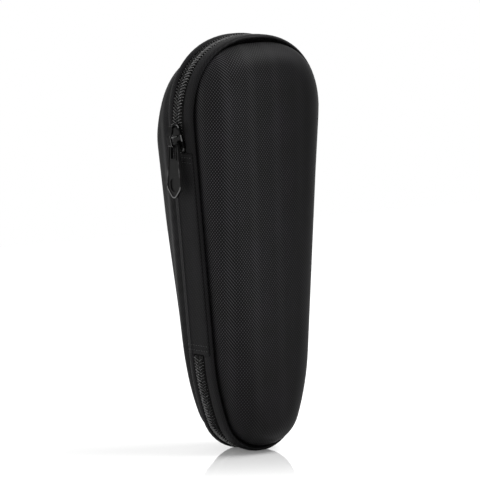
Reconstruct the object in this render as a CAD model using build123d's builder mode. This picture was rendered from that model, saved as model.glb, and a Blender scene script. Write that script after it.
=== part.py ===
from build123d import *
import os
from collections import namedtuple
from math import asin, cos, degrees, hypot, radians, sin, sqrt, tan

os.makedirs("parts", exist_ok=True)

# Moulded clamshell case for an electric shaver, in millimetres. The case stands on its narrow end.
# +Z runs along its length, the lid faces -Y, the deep half bulges towards +Y, and the fabric hinge is
# on the -X side. It is drawn with the zipper in the parting plane y = 0 and its middle line at x = 0.
# The last block moves every piece so that the origin is the bottom centre of the bounding box.

# --- outline of the rims, seen along Y -----------------------------------------------------------
height = 200.0
top_radius = 38.0            # one arc over the wide end
side_taper = 4.8             # degrees that each straight side leans inwards, going down
toe_ratio = 0.191            # radius of the toe arc over that of the flank arcs beside it
toe_angle = 20.9             # degrees below level at which a flank arc turns into the toe arc
foot_half = 4.0              # half the width of the flat under the toe that the case stands on

# --- parting gap, rims and the laminate of the shells ---------------------------------------------
gap_half = 4.0               # from the parting plane to the edge of each rim
front_rim_width = 7.1
back_rim_width = 4.4
rim_thickness = 3.0
rim_edge_round = 0.9
groove_width = 1.3           # dark groove between rim and dome
groove_depth = 2.6
cover_thickness = 0.9
foam_thickness = 3.2
lining_thickness = 0.7

# --- domes ----------------------------------------------------------------------------------------
front_depth = 23.0           # from the parting plane to the lid's flat face
front_round = 13.0
back_depth = 38.0            # deepest point of the back dome

# --- zipper ---------------------------------------------------------------------------------------
chain_stand = 0.3            # the chain's arc is this much larger than the rim's
chain_center_drop = 1.2      # and its centre this much lower
chain_extra_taper = 0.2      # degrees that its sides lean inwards beyond the rim's
chain_end_rise = 0.1         # its lowest point lies this far above the rim's
coil_inner = 0.6             # from the parting plane to the coil's heads
coil_width = 2.1
coil_sink = 0.4              # coil's outer face below the chain line
coil_thickness = 1.8
tape_thickness = 0.6
chain_end_gap = 0.5          # between the ends of the chain and the hinge's ends
thread_height = 0.2
thread_width = 0.35
thread_place = 3.25

# --- fabric hinge ---------------------------------------------------------------------------------
hinge_low_margin = 1.8       # from the lower end of the straight side to the hinge
hinge_stop_gap = 1.05        # from the hinge to the upper end stops
leaf_thickness = 0.7
leaf_half_gap = 0.25
leaf_edge_margin = 0.5       # from the leaf's edge to the rim's outer edge
axis_clearance = 0.2         # hinge line outside the leaf's face
strip_thickness = 0.6
strip_sink = 0.1             # inner strip below the rim's inner face
stitch_row_height = 0.25
stitch_row_width = 0.5
stitch_row_offsets = (2.0, 4.4)
stitch_row_margin = 0.5

# --- end stops ------------------------------------------------------------------------------------
stop_length = 2.0
stop_wall = 0.35
stop_slack = 0.8             # between the slider at rest and the upper stops

# --- slider ---------------------------------------------------------------------------------------
slider_drop = 8.8            # middle of the slider at rest below the centre of the chain's arc
slider_length = 11.3
slider_clearance = 0.3
slider_wall = 0.7
slider_plate = 1.3
slider_corner = 1.6
post_length = 2.2
post_margin = 1.0
post_clearance = 0.2
cap_length = 7.8
cap_width = 3.0
cap_height = 4.8
cap_wall = 0.8
cap_shift = 0.3
cap_flat_share = 0.6         # part of the cap's length that is flat on top
spring_thickness = 0.3
spring_width = 1.8
pin_radius = 0.45

# --- pull tab -------------------------------------------------------------------------------------
tab_length = 25.4            # from its pivot to its tip
tab_top_width = 7.0
tab_width = 11.2
tab_widest = 20.8            # from the pivot to the widest place
tab_thickness = 1.4
tab_bar_radius = 0.55
tab_window = 6.7
tab_arm_gap = 0.35
tab_pivot_u = -1.7
tab_bar_lift = 1.4           # from the slider's plate to the bar, above its play
tab_border = 1.3
tab_recess = 0.3
tab_corner = 1.2

# --- inner fittings -------------------------------------------------------------------------------
fit_gap = 0.15
band_low_z = 96.0
band_width = 22.0
band_thickness = 1.0
band_y = 7.0
anchor_length = 8.0
anchor_thickness = 0.8
pocket_high_z = 92.0
pocket_y = 6.0
mesh_thickness = 0.8
hem_width = 3.0
hem_extra = 0.4

# --- derived sizes --------------------------------------------------------------------------------
wall = cover_thickness + foam_thickness + lining_thickness
inner_inset = rim_thickness + wall
tape_inset = coil_sink + coil_thickness
slider_half = coil_inner + coil_width + slider_clearance + slider_wall

Form = namedtuple("Form", "top_r top_z taper ratio low_z")
Ends = namedtuple("Ends", "normal side_high side_low flank_center flank_r toe toe_center toe_r")

RIM = Form(top_radius, height - top_radius, side_taper, toe_ratio, 0.0)
chain_radius = top_radius + chain_stand
chain_center_z = RIM.top_z - chain_center_drop
CHAIN = Form(chain_radius, chain_center_z, side_taper + chain_extra_taper, toe_ratio, chain_end_rise)


def solve(form):
    """Centres and tangent points of an outline: top arc, straight sides, flank arcs and toe arc."""
    lean, turn = radians(form.taper), radians(toe_angle)
    nx, nz = cos(lean), -sin(lean)
    hx, hz = form.top_r * nx, form.top_z + form.top_r * nz
    rest = 1 - form.ratio
    reach = hx * nx + (hz - form.low_z) * nz
    flank_r = reach / (1 - rest * cos(turn) * nx + nz * (form.ratio + rest * sin(turn)))
    toe_r = form.ratio * flank_r
    toe = (cos(turn), -sin(turn))
    toe_center = (0.0, form.low_z + toe_r)
    center = (-toe[0] * (flank_r - toe_r), toe_center[1] - toe[1] * (flank_r - toe_r))
    side_low = (center[0] + flank_r * nx, center[1] + flank_r * nz)
    return Ends((nx, nz), (hx, hz), side_low, center, flank_r, toe, toe_center, toe_r)


def along(point, direction, distance):
    """A point moved by a distance along a direction."""
    return (point[0] + direction[0] * distance, point[1] + direction[1] * distance)


def flipped(point):
    """The same point on the other side of the case."""
    return (-point[0], point[1])


def outline_face(form, inset):
    """The face inside a form's outline, shrunk by an inset."""
    ends = solve(form)
    flank_r = ends.flank_r - inset
    high = along(ends.side_high, ends.normal, -inset)
    low = along(ends.side_low, ends.normal, -inset)
    toe = along(ends.flank_center, ends.toe, flank_r)
    mid = (ends.normal[0] + ends.toe[0], ends.normal[1] + ends.toe[1])
    mid = along(ends.flank_center, mid, flank_r / hypot(*mid))
    apex = (0.0, form.top_z + form.top_r - inset)
    foot = (0.0, form.low_z + inset)
    with BuildSketch(mode=Mode.PRIVATE) as face:
        with BuildLine():
            ThreePointArc(flipped(high), apex, high)
            Line(high, low)
            ThreePointArc(low, mid, toe)
            ThreePointArc(toe, foot, flipped(toe))
            ThreePointArc(flipped(toe), flipped(mid), flipped(low))
            Line(flipped(low), flipped(high))
        make_face()
    return face.sketch


def layer(side, depth):
    """Plane at a depth from the parting plane, in the back half (side 1) or the lid (side -1)."""
    return Plane.XZ.offset(-side * depth)


pieces = []


def save(part, name):
    """Labels a finished piece and keeps it for the last block, which writes the files."""
    part.label = name
    pieces.append(part)


# --- rims -----------------------------------------------------------------------------------------
HALVES = (("front", -1), ("back", 1))


def rim_top(side):
    """Distance from the parting plane to the top of a half's rim."""
    return gap_half + (back_rim_width if side > 0 else front_rim_width)


toe_radius = solve(RIM).toe_r
foot_rise = toe_radius - sqrt(toe_radius**2 - foot_half**2)


def make_rim(side):
    """The welt beside the zipper: a ring with rounded outer edges and the groove next to the dome.
    Its toe is cut flat, so that the case can stand."""
    top = rim_top(side)
    with BuildPart() as rim:
        with BuildSketch(layer(side, gap_half)):
            add(outline_face(RIM, 0))
        extrude(amount=-side * (top - gap_half))
        faces = rim.faces().sort_by(Axis.Y)
        fillet(faces[0].edges() + faces[-1].edges(), rim_edge_round)
        with BuildSketch(layer(side, gap_half)):
            add(outline_face(RIM, rim_thickness))
        extrude(amount=-side * (top - gap_half), mode=Mode.SUBTRACT)
        with BuildSketch(layer(side, top - groove_depth)):
            add(outline_face(RIM, rim_thickness - groove_width))
        extrude(amount=-side * groove_depth, mode=Mode.SUBTRACT)
        with Locations((0, 0, foot_rise / 2)):
            Box(2 * top_radius, 3 * top, foot_rise, mode=Mode.SUBTRACT)
    return rim.part


for half, side in HALVES:
    save(make_rim(side), f"{half}_rim")


# --- lid shell: cover, foam and lining ------------------------------------------------------------
def front_body(inset):
    """The lid's dome as one solid, shrunk by an inset."""
    with BuildPart(mode=Mode.PRIVATE) as dome:
        with BuildSketch(layer(-1, gap_half)):
            add(outline_face(RIM, rim_thickness + inset))
        extrude(amount=front_depth - inset - gap_half)
        fillet(dome.faces().sort_by(Axis.Y)[0].edges(), front_round - inset)
    return dome.part


def make_front_layer(outer, inner):
    """One layer of the lid's laminate, between two insets from the dome's surface."""
    with BuildPart() as shell:
        add(front_body(outer))
        add(front_body(inner), mode=Mode.SUBTRACT)
    return shell.part


# --- back shell: the same laminate over the deep dome ---------------------------------------------
# The foot's levels keep their distance from the rim: depth above the rim's top, then how far side, top
# and toe stand in, degrees that the sides lean further, the toe ratio, and how much of an inset an
# inner layer takes in depth.
FootLevel = namedtuple("FootLevel", "above side top toe lean ratio sink")
FOOT_LEVELS = (
    FootLevel(0.0, 0.0, 0.0, 0.0, 0.0, toe_ratio, 0.0),
    FootLevel(6.8, 0.2, 3.9, 2.5, 0.1, toe_ratio, 0.4),
    FootLevel(12.6, 2.1, 5.6, 30.7, 0.5, 0.30, 0.9),
)
# The crown's levels keep their distance from the deepest point: depth below it, radius of the top arc,
# how far the top stands in, how much taller than a circle the outline is, lean and toe ratio.
CrownLevel = namedtuple("CrownLevel", "below radius top stretch lean ratio")
CROWN_LEVELS = (
    CrownLevel(8.5, 32.3, 17.2, 33.1, 1.5, 0.60),
    CrownLevel(3.0, 26.0, 27.2, 6.1, 2.5, 0.80),
    CrownLevel(0.0, 12.8, 36.0, 8.1, 3.0, 0.95),
)


def foot_form(level):
    """The outline of one of the foot's levels, with the rim's thickness around it."""
    radius = top_radius - level.side
    return Form(radius, height - level.top - radius, side_taper + level.lean, level.ratio, level.toe)


def crown_form(level):
    """The outline of one of the crown's levels, with the rim's thickness around it."""
    top_z = height - level.top - level.radius
    low_z = top_z - level.radius - level.stretch
    return Form(level.radius, top_z, side_taper + level.lean, level.ratio, low_z)


def back_sections(inset):
    """Depth and outline of each section of the back dome, for a layer at an inset."""
    yield gap_half, RIM
    for level in FOOT_LEVELS:
        yield rim_top(1) + level.above - inset * level.sink, foot_form(level)
    for level in CROWN_LEVELS:
        yield back_depth - level.below - inset, crown_form(level)


def back_body(inset):
    """The back dome as one solid, shrunk by an inset."""
    with BuildPart(mode=Mode.PRIVATE) as dome:
        for depth, form in back_sections(inset):
            with BuildSketch(layer(1, depth)):
                add(outline_face(form, rim_thickness + inset))
        loft(ruled=True)
    return dome.part


def make_back_layer(outer, inner):
    """One layer of the back shell's laminate, between two insets from the dome's surface."""
    with BuildPart() as shell:
        add(back_body(outer))
        add(back_body(inner), mode=Mode.SUBTRACT)
    return shell.part


LAMINATE = (
    ("cover", 0.0, cover_thickness),
    ("foam", cover_thickness, cover_thickness + foam_thickness),
    ("lining", cover_thickness + foam_thickness, wall),
)
for name, outer, inner in LAMINATE:
    save(make_front_layer(outer, inner), f"front_{name}")
    save(make_back_layer(outer, inner), f"back_{name}")


# --- heights of the slider, the end stops and the hinge on the left side ---------------------------
slider_z = chain_center_z - slider_drop
hinge_high_z = slider_z - slider_length / 2 - stop_slack - stop_length - hinge_stop_gap
hinge_low_z = solve(RIM).side_low[1] + hinge_low_margin


# --- zipper tapes, coils and the threads that hold the tapes --------------------------------------
def chain_face(outer, inner):
    """The chain's ring between two insets. It is open on the left, where the hinge is. Above the
    hinge it keeps to the top arc's circle, so that the slider can follow it from there."""
    high_end, low_end = hinge_high_z + chain_end_gap, hinge_low_z - chain_end_gap
    with BuildSketch(mode=Mode.PRIVATE) as bend:
        with Locations((0, chain_center_z)):
            Circle(chain_radius - outer)
            Circle(chain_radius - inner, mode=Mode.SUBTRACT)
        with Locations((0, high_end)):
            Rectangle(
                2 * chain_radius,
                chain_center_z - high_end,
                align=(Align.MAX, Align.MIN),
                mode=Mode.INTERSECT,
            )
    with BuildSketch(mode=Mode.PRIVATE) as ring:
        add(outline_face(CHAIN, outer))
        add(outline_face(CHAIN, inner), mode=Mode.SUBTRACT)
        with Locations((0, low_end)):
            Rectangle(
                2 * chain_radius,
                chain_center_z - low_end,
                align=(Align.MAX, Align.MIN),
                mode=Mode.SUBTRACT,
            )
        add(bend.sketch)
    return ring.sketch


def make_chain_piece(side, near, far, outer, inner):
    """A strip of the chain from one distance to another off the parting plane."""
    with BuildPart() as strip:
        with BuildSketch(layer(side, near)):
            add(chain_face(outer, inner))
        extrude(amount=-side * (far - near))
    return strip.part


for half, side in HALVES:
    tape = make_chain_piece(side, coil_inner, gap_half, tape_inset, tape_inset + tape_thickness)
    save(tape, f"{half}_zipper_tape")
    coil = make_chain_piece(side, coil_inner, coil_inner + coil_width, coil_sink, tape_inset)
    save(coil, f"{half}_coil")
    thread = make_chain_piece(
        side, thread_place, thread_place + thread_width, tape_inset - thread_height, tape_inset
    )
    save(thread, f"{half}_tape_stitching")


# --- places along the left side -------------------------------------------------------------------
rim_ends = solve(RIM)
lean = radians(side_taper)
side_up = (-sin(lean), 0, cos(lean))


def side_plane(z, form=RIM):
    """Plane on a form's straight left side at a height: x goes up along it, y is +Y, z outwards."""
    high_x, high_z = solve(form).side_high
    slope = radians(form.taper)
    x = -(high_x - (high_z - z) * tan(slope))
    return Plane(origin=(x, 0, z), x_dir=(-sin(slope), 0, cos(slope)), z_dir=(-cos(slope), 0, -sin(slope)))


def side_block(low_z, high_z, side, near, far, bottom, top):
    """A plate along the left side: between two heights, two distances off the parting plane, and
    two distances outwards from the rim's face."""
    with BuildPart(mode=Mode.PRIVATE) as plate:
        with BuildSketch(side_plane(low_z).offset(bottom)):
            with Locations((0, side * near)):
                Rectangle(
                    (high_z - low_z) / cos(lean),
                    far - near,
                    align=(Align.MIN, Align.MIN if side > 0 else Align.MAX),
                )
        extrude(amount=top - bottom)
    return plate.part


# --- fabric hinge: outer leaves, inner strips and stitch rows -------------------------------------
for half, side in HALVES:
    leaf_edge = rim_top(side) - rim_edge_round - leaf_edge_margin
    with BuildPart() as leaf:
        add(side_block(hinge_low_z, hinge_high_z, side, leaf_half_gap, leaf_edge, 0, leaf_thickness))
    save(leaf.part, f"{half}_hinge_leaf")

    strip_top = -rim_thickness - strip_sink
    strip_low = strip_top - strip_thickness
    with BuildPart() as strip:
        add(side_block(hinge_low_z, hinge_high_z, side, leaf_half_gap, gap_half, strip_low, strip_top))
    save(strip.part, f"{half}_hinge_lining")

    with BuildPart() as rows:
        for offset in stitch_row_offsets:
            for row_z in (hinge_low_z + offset, hinge_high_z - offset):
                row_low, row_high = row_z - stitch_row_width / 2, row_z + stitch_row_width / 2
                near, far = leaf_half_gap + stitch_row_margin, leaf_edge - stitch_row_margin
                row_top = leaf_thickness + stitch_row_height
                add(side_block(row_low, row_high, side, near, far, leaf_thickness, row_top))
    save(rows.part, f"{half}_hinge_stitching")


# --- places along the chain's arc -----------------------------------------------------------------
def chain_plane(angle):
    """Plane on the chain's arc, at an angle below the arc's middle on the left: x goes up along
    the chain, y is +Y and z points outwards."""
    out = (-cos(angle), 0, -sin(angle))
    up = (-sin(angle), 0, cos(angle))
    center = Vector(0, 0, chain_center_z)
    return Plane(origin=center + Vector(*out) * chain_radius, x_dir=up, z_dir=out)


slider_angle = asin((chain_center_z - slider_z) / chain_radius)
slider_plane = chain_plane(slider_angle)
upper_stop_angle = slider_angle + (slider_length / 2 + stop_slack + stop_length / 2) / chain_radius

# --- end stops: clips over the coils' ends --------------------------------------------------------
for half, side in HALVES:
    coil_middle = side * (coil_inner + coil_width / 2)
    for end, plane in (
        ("upper", chain_plane(upper_stop_angle)),
        ("lower", side_plane(hinge_low_z - stop_length, CHAIN)),
    ):
        with BuildPart() as clip:
            with BuildSketch(plane.offset(-coil_sink + stop_wall / 2)):
                with Locations((0, coil_middle)):
                    Rectangle(stop_length, coil_width + 2 * stop_wall)
            extrude(amount=-coil_thickness - stop_wall / 2)
            with BuildSketch(plane.offset(-coil_sink)):
                with Locations((0, coil_middle)):
                    Rectangle(2 * stop_length, coil_width)
            extrude(amount=-coil_thickness, mode=Mode.SUBTRACT)
        save(clip.part, f"{half}_{end}_stop")

# --- slider body ----------------------------------------------------------------------------------
channel_top = -coil_sink + slider_clearance
sagitta = (slider_length / 2) ** 2 / (2 * chain_radius)
channel_bottom = -(tape_inset + tape_thickness + sagitta + slider_clearance)
flange_bottom = -(tape_inset - thread_height - slider_clearance)


def slider_plate_face():
    """Plan of a slider plate: full width at the mouth, narrower where the closed chain comes out."""
    half = slider_length / 2
    with BuildSketch(mode=Mode.PRIVATE) as plan:
        with BuildLine():
            Polyline(
                (-half, -slider_half),
                (0, -slider_half),
                (half, -slider_half + slider_wall),
                (half, slider_half - slider_wall),
                (0, slider_half),
                (-half, slider_half),
                close=True,
            )
        make_face()
        fillet(plan.vertices(), slider_corner)
    return plan.sketch


with BuildPart() as slider_body:
    with BuildSketch(slider_plane.offset(channel_top)):
        add(slider_plate_face())
    extrude(amount=slider_plate)
    with BuildSketch(slider_plane.offset(channel_bottom)):
        add(slider_plate_face())
    extrude(amount=-slider_plate)
    with BuildSketch(slider_plane.offset(channel_top)):
        for across in (-1, 1):
            with Locations((-slider_length / 4, across * (slider_half - slider_wall / 2))):
                Rectangle(slider_length / 2 - slider_corner, slider_wall)
    extrude(amount=flange_bottom - channel_top)
    post_u = -slider_length / 2 + post_margin + post_length / 2
    with BuildSketch(slider_plane.offset(channel_top)):
        with Locations((post_u, 0)):
            RectangleRounded(post_length, 2 * (coil_inner - post_clearance), coil_inner / 2)
    extrude(amount=channel_bottom - channel_top)
save(slider_body.part, "slider_body")

# --- slider cap: the bridge that the pull tab hangs on --------------------------------------------
plate_top = channel_top + slider_plate
side_view = Plane(origin=slider_plane.origin, x_dir=slider_plane.x_dir, z_dir=(0, -1, 0))


def cap_profile(shrink):
    """Side view of the cap, a low arch, shrunk by a wall on its top and ends."""
    half = cap_length / 2 - shrink
    flat = half * cap_flat_share
    high = plate_top + cap_height - shrink
    bend = high - (cap_height - shrink) / 2
    with BuildSketch(mode=Mode.PRIVATE) as profile:
        with BuildLine():
            Polyline(
                (cap_shift - half, plate_top),
                (cap_shift - half, bend),
                (cap_shift - flat, high),
                (cap_shift + flat, high),
                (cap_shift + half, bend),
                (cap_shift + half, plate_top),
                close=True,
            )
        make_face()
    return profile.sketch


with BuildPart() as slider_cap:
    with BuildSketch(side_view):
        add(cap_profile(0))
        add(cap_profile(cap_wall), mode=Mode.SUBTRACT)
    extrude(amount=cap_width / 2, both=True)
save(slider_cap.part, "slider_cap")

# --- lock spring: a leaf under the cap with the locking pin ---------------------------------------
spring_top = plate_top + cap_height - cap_wall
spring_length = (cap_length - 2 * cap_wall) * cap_flat_share
with BuildPart() as lock_spring:
    with BuildSketch(slider_plane.offset(spring_top)):
        with Locations((cap_shift, 0)):
            Rectangle(spring_length, spring_width)
    extrude(amount=-spring_thickness)
    with BuildSketch(slider_plane.offset(spring_top - spring_thickness)):
        with Locations((cap_shift + spring_length / 2 - pin_radius, 0)):
            Circle(pin_radius)
    extrude(amount=-(spring_top - spring_thickness - plate_top))
save(lock_spring.part, "slider_lock_spring")

# --- pull tab -------------------------------------------------------------------------------------
pivot_w = plate_top + tab_bar_radius + slider_clearance + tab_bar_lift
pivot = slider_plane.from_local_coords((tab_pivot_u, 0, pivot_w))

# The tab hangs plumb from its bar, clear of the hinge because the side leans away from it.
tab_plane = Plane(origin=pivot, x_dir=(0, 0, -1), z_dir=(-1, 0, 0))
window_half = cap_width / 2 + tab_arm_gap


def tab_plan():
    """Plan of the tab: sides that widen downwards, a blunt point, and the window for the cap."""
    with BuildSketch(mode=Mode.PRIVATE) as plan:
        with BuildLine():
            Polyline(
                (-tab_bar_radius, -tab_top_width / 2),
                (tab_widest, -tab_width / 2),
                (tab_length, -tab_border),
                (tab_length, tab_border),
                (tab_widest, tab_width / 2),
                (-tab_bar_radius, tab_top_width / 2),
                close=True,
            )
        make_face()
        fillet(plan.vertices(), tab_corner)
        with Locations((-tab_corner, 0)):
            Rectangle(
                tab_window + tab_corner,
                2 * window_half,
                align=(Align.MIN, Align.CENTER),
                mode=Mode.SUBTRACT,
            )
    return plan.sketch


with BuildPart() as pull_tab:
    with BuildSketch(tab_plane.offset(-tab_thickness / 2)):
        add(tab_plan())
    extrude(amount=tab_thickness)
    with BuildSketch(tab_plane.offset(tab_thickness / 2)):
        with Locations(((tab_window + tab_length) / 2, 0)):
            RectangleRounded(
                tab_length - tab_window - 4 * tab_border, tab_top_width - 2 * tab_border, tab_border
            )
    extrude(amount=-tab_recess, mode=Mode.SUBTRACT)
    with BuildSketch(Plane(origin=pivot, x_dir=-tab_plane.x_dir, z_dir=(0, -1, 0))):
        Circle(tab_bar_radius)
    extrude(amount=window_half, both=True)
save(pull_tab.part, "pull_tab")


# --- elastic band of the deep half ----------------------------------------------------------------
def crossing(low_z, high_z):
    """The part of the hollow's outline that lies between two heights."""
    with BuildSketch(mode=Mode.PRIVATE) as slice_face:
        add(outline_face(RIM, inner_inset + fit_gap))
        with Locations((0, low_z)):
            Rectangle(
                2 * top_radius,
                high_z - low_z,
                align=(Align.CENTER, Align.MIN),
                mode=Mode.INTERSECT,
            )
    return slice_face.sketch


with BuildPart() as elastic_band:
    with BuildSketch(layer(1, band_y)):
        add(crossing(band_low_z, band_low_z + band_width))
    extrude(amount=-band_thickness)
save(elastic_band.part, "elastic_band")

band_half = rim_ends.side_low[0] + (band_low_z - rim_ends.side_low[1]) * tan(lean) - inner_inset / cos(lean)
with BuildPart() as band_anchors:
    with BuildSketch(layer(1, band_y)):
        add(crossing(band_low_z, band_low_z + band_width))
        with Locations((0, band_low_z + band_width / 2)):
            Rectangle(2 * (band_half - anchor_length), 2 * band_width, mode=Mode.SUBTRACT)
    extrude(amount=anchor_thickness)
save(band_anchors.part, "band_anchors")

# --- mesh pocket of the lid -----------------------------------------------------------------------
with BuildPart() as mesh_pocket:
    with BuildSketch(layer(-1, pocket_y)):
        add(crossing(0, pocket_high_z))
    extrude(amount=mesh_thickness)
save(mesh_pocket.part, "mesh_pocket")

with BuildPart() as pocket_hem:
    with BuildSketch(layer(-1, pocket_y - hem_extra)):
        add(crossing(pocket_high_z, pocket_high_z + hem_width))
    extrude(amount=mesh_thickness + 2 * hem_extra)
save(pocket_hem.part, "pocket_hem")

# --- files, with the origin at the bottom centre of the bounding box --------------------------------
boxes = [piece.bounding_box() for piece in pieces]
low_x, high_x = min(box.min.X for box in boxes), max(box.max.X for box in boxes)
low_y, high_y = min(box.min.Y for box in boxes), max(box.max.Y for box in boxes)
low_z = min(box.min.Z for box in boxes)
shift = Vector(-(low_x + high_x) / 2, -(low_y + high_y) / 2, -low_z)
for piece in pieces:
    moved = piece.moved(Location(shift))
    moved.label = piece.label
    export_step(moved, f"parts/{piece.label}.step")

# --- joint lines, printed for the record ----------------------------------------------------------
hinge_point = side_plane(rim_ends.side_high[1]).from_local_coords((0, 0, leaf_thickness + axis_clearance))
print("shift", shift)
print("lid hinge point", hinge_point + shift, "axis", tuple(-value for value in side_up))
print("slider hinge point", Vector(0, 0, chain_center_z) + shift, "rest angle", degrees(slider_angle))
print("tab pivot", pivot + shift)
print("foot rise", foot_rise, "toe radius", toe_radius, "hollow's half width at the band", band_half)
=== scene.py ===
from collections import namedtuple
from math import asin, atan2, copysign, cos, degrees, hypot, pi, radians, sin, tan

import bmesh
import bpy
from mathutils import Matrix, Vector


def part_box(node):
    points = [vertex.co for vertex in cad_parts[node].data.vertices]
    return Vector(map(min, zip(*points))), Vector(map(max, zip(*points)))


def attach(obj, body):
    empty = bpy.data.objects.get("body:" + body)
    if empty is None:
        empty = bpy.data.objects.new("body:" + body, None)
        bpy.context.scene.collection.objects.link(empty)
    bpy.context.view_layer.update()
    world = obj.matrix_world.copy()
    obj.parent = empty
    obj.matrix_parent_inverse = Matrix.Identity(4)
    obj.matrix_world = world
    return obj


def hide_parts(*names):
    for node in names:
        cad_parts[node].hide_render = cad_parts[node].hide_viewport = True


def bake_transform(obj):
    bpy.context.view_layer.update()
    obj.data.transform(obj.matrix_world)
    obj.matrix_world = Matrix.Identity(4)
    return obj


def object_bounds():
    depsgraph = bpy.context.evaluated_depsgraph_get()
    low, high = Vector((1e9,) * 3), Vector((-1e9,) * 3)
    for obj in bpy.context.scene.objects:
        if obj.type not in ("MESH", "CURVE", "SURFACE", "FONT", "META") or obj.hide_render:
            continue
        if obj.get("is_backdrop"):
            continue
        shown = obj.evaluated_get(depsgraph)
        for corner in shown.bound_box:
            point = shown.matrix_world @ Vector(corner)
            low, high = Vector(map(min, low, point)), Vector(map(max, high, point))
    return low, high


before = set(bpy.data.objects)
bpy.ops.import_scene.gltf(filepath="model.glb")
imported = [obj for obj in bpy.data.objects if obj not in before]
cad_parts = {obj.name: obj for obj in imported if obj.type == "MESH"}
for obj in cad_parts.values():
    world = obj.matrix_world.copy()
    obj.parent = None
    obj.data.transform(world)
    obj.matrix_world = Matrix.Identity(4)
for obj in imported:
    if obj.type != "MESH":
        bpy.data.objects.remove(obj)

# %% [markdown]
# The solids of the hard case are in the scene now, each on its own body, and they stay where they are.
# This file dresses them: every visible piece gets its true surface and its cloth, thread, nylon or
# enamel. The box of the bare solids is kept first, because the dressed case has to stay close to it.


def in_millimetres(box):
    """A box's corners, rounded for printing."""
    return [[round(1000 * value, 2) for value in corner] for corner in box]


solid_box = [list(corner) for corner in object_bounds()]
print("box of the solids, in mm:", in_millimetres(solid_box))

# %% [markdown]
# A case like this is drawn round its zipper. The drawing's own origin lies in the parting plane, on
# the middle line, so the two halves mirror each other and every length reads in millimetres. The
# solids were moved so that their box stands centred on the floor, and the same move, as one matrix,
# takes a drawing to its place among them, in metres.

# %% From the drawing to the frame
DRAWING_ORIGIN = Vector((0.00286069, -0.0075, -0.000357082))
TO_FRAME = Matrix.Translation(DRAWING_ORIGIN) @ Matrix.Scale(0.001, 4)


def in_frame(x, y, z):
    """A point of the drawing, in millimetres, as a point of the frame, in metres."""
    return TO_FRAME @ Vector((x, y, z))


def in_scene(name, data):
    """A new object in the scene."""
    thing = bpy.data.objects.new(name, data)
    bpy.context.scene.collection.objects.link(thing)
    return thing


print("the drawing's origin in the frame:", tuple(round(value, 5) for value in DRAWING_ORIGIN))

# %% [markdown]
# The camera stands low in front, turned towards the zipper side, and far away with a long lens, so
# the case shows almost no perspective. It leans by one degree, and a very small shift of the lens
# sets the case a little right of and below the picture's middle.

# %% Camera
AZIMUTH, ELEVATION, ROLL = -36.0, 6.4, -1.0
FOCAL_PIXELS, PICTURE_PIXELS, CAMERA_DISTANCE = 4550.0, 480, 2.180
PIXELS_RIGHT, PIXELS_DOWN = 4.7, 2.1
LOOKED_AT = in_frame(0, 0, 100)


def out_from_case(azimuth, elevation):
    """The direction out from the case at an azimuth and an elevation, in degrees."""
    turn, rise = radians(azimuth), radians(elevation)
    return Vector((sin(turn) * cos(rise), -cos(turn) * cos(rise), sin(rise)))


camera = in_scene("camera", bpy.data.cameras.new("camera"))
backwards = out_from_case(AZIMUTH, ELEVATION)
upright = backwards.to_track_quat("Z", "Y").to_matrix()
camera.location = LOOKED_AT + backwards * CAMERA_DISTANCE
camera.rotation_euler = (upright @ Matrix.Rotation(radians(ROLL), 3, "Z")).to_euler()
camera.data.sensor_width = 36.0
camera.data.lens = FOCAL_PIXELS / PICTURE_PIXELS * camera.data.sensor_width
camera.data.shift_x = -PIXELS_RIGHT / PICTURE_PIXELS
camera.data.shift_y = PIXELS_DOWN / PICTURE_PIXELS
camera.data.clip_end = 20
bpy.context.scene.camera = camera
print("lens", round(camera.data.lens, 1), "mm at", round(CAMERA_DISTANCE, 3), "m")

# %% [markdown]
# Room, floor and finishes are all webs of shader nodes. A helper makes a node, fills its sockets in
# order and links what it is given, so that a recipe reads from top to bottom like the steps in which
# a maker would mix it.

# %% A bench for webs of nodes
class Web:
    """The node tree of a world or a material."""

    def __init__(self, owner):
        owner.use_nodes = True
        self.tree = owner.node_tree

    def node(self, kind, *given, **settings):
        """Makes a node with settings and fills its sockets in order; a socket is linked, None skipped."""
        made = self.tree.nodes.new(kind)
        for name, value in settings.items():
            setattr(made, name, value)
        for socket, value in zip(made.inputs, given):
            if isinstance(value, bpy.types.NodeSocket):
                self.tree.links.new(value, socket)
            elif value is not None:
                socket.default_value = value
        return made

    def math(self, operation, *given):
        """One step of arithmetic."""
        return self.node("ShaderNodeMath", *given, operation=operation).outputs[0]

    def mixed(self, factor, one, two):
        """Two shaders, mixed by a factor."""
        return self.node("ShaderNodeMixShader", factor, one.outputs[0], two.outputs[0])

    def between(self, factor, low, high, start=0.0, end=1.0, **settings):
        """A number from low to high, as the factor goes from start to end."""
        return self.node("ShaderNodeMapRange", factor, start, end, low, high, **settings).outputs[0]


def grey(value):
    """A grey as a colour."""
    return value, value, value, 1


print("a web's node can be made, filled and linked in one line")

# %% [markdown]
# Black cloth only shows its shape through soft, broad highlights. A dim white room gives the plain
# level, one large softbox from the upper right lights the lid's shoulder, and a smaller one from the
# left draws the deep half and the zipper. The camera and every reflection see the room as pure white,
# but the plain light that it throws on the case is dimmer.

# %% Room and lamps
world = bpy.data.worlds.new("room")
bpy.context.scene.world = world
room = Web(world)
room.tree.nodes.clear()
rays = room.node("ShaderNodeLightPath").outputs
straight_through = room.math("MAXIMUM", rays["Is Camera Ray"], rays["Is Transmission Ray"])
seen_white = room.math("MAXIMUM", straight_through, rays["Is Glossy Ray"])
dim_room = room.node("ShaderNodeBackground", grey(1), 0.6)
white_room = room.node("ShaderNodeBackground", grey(1), 1.0)
room.node("ShaderNodeOutputWorld", room.mixed(seen_white, dim_room, white_room).outputs[0])


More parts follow.
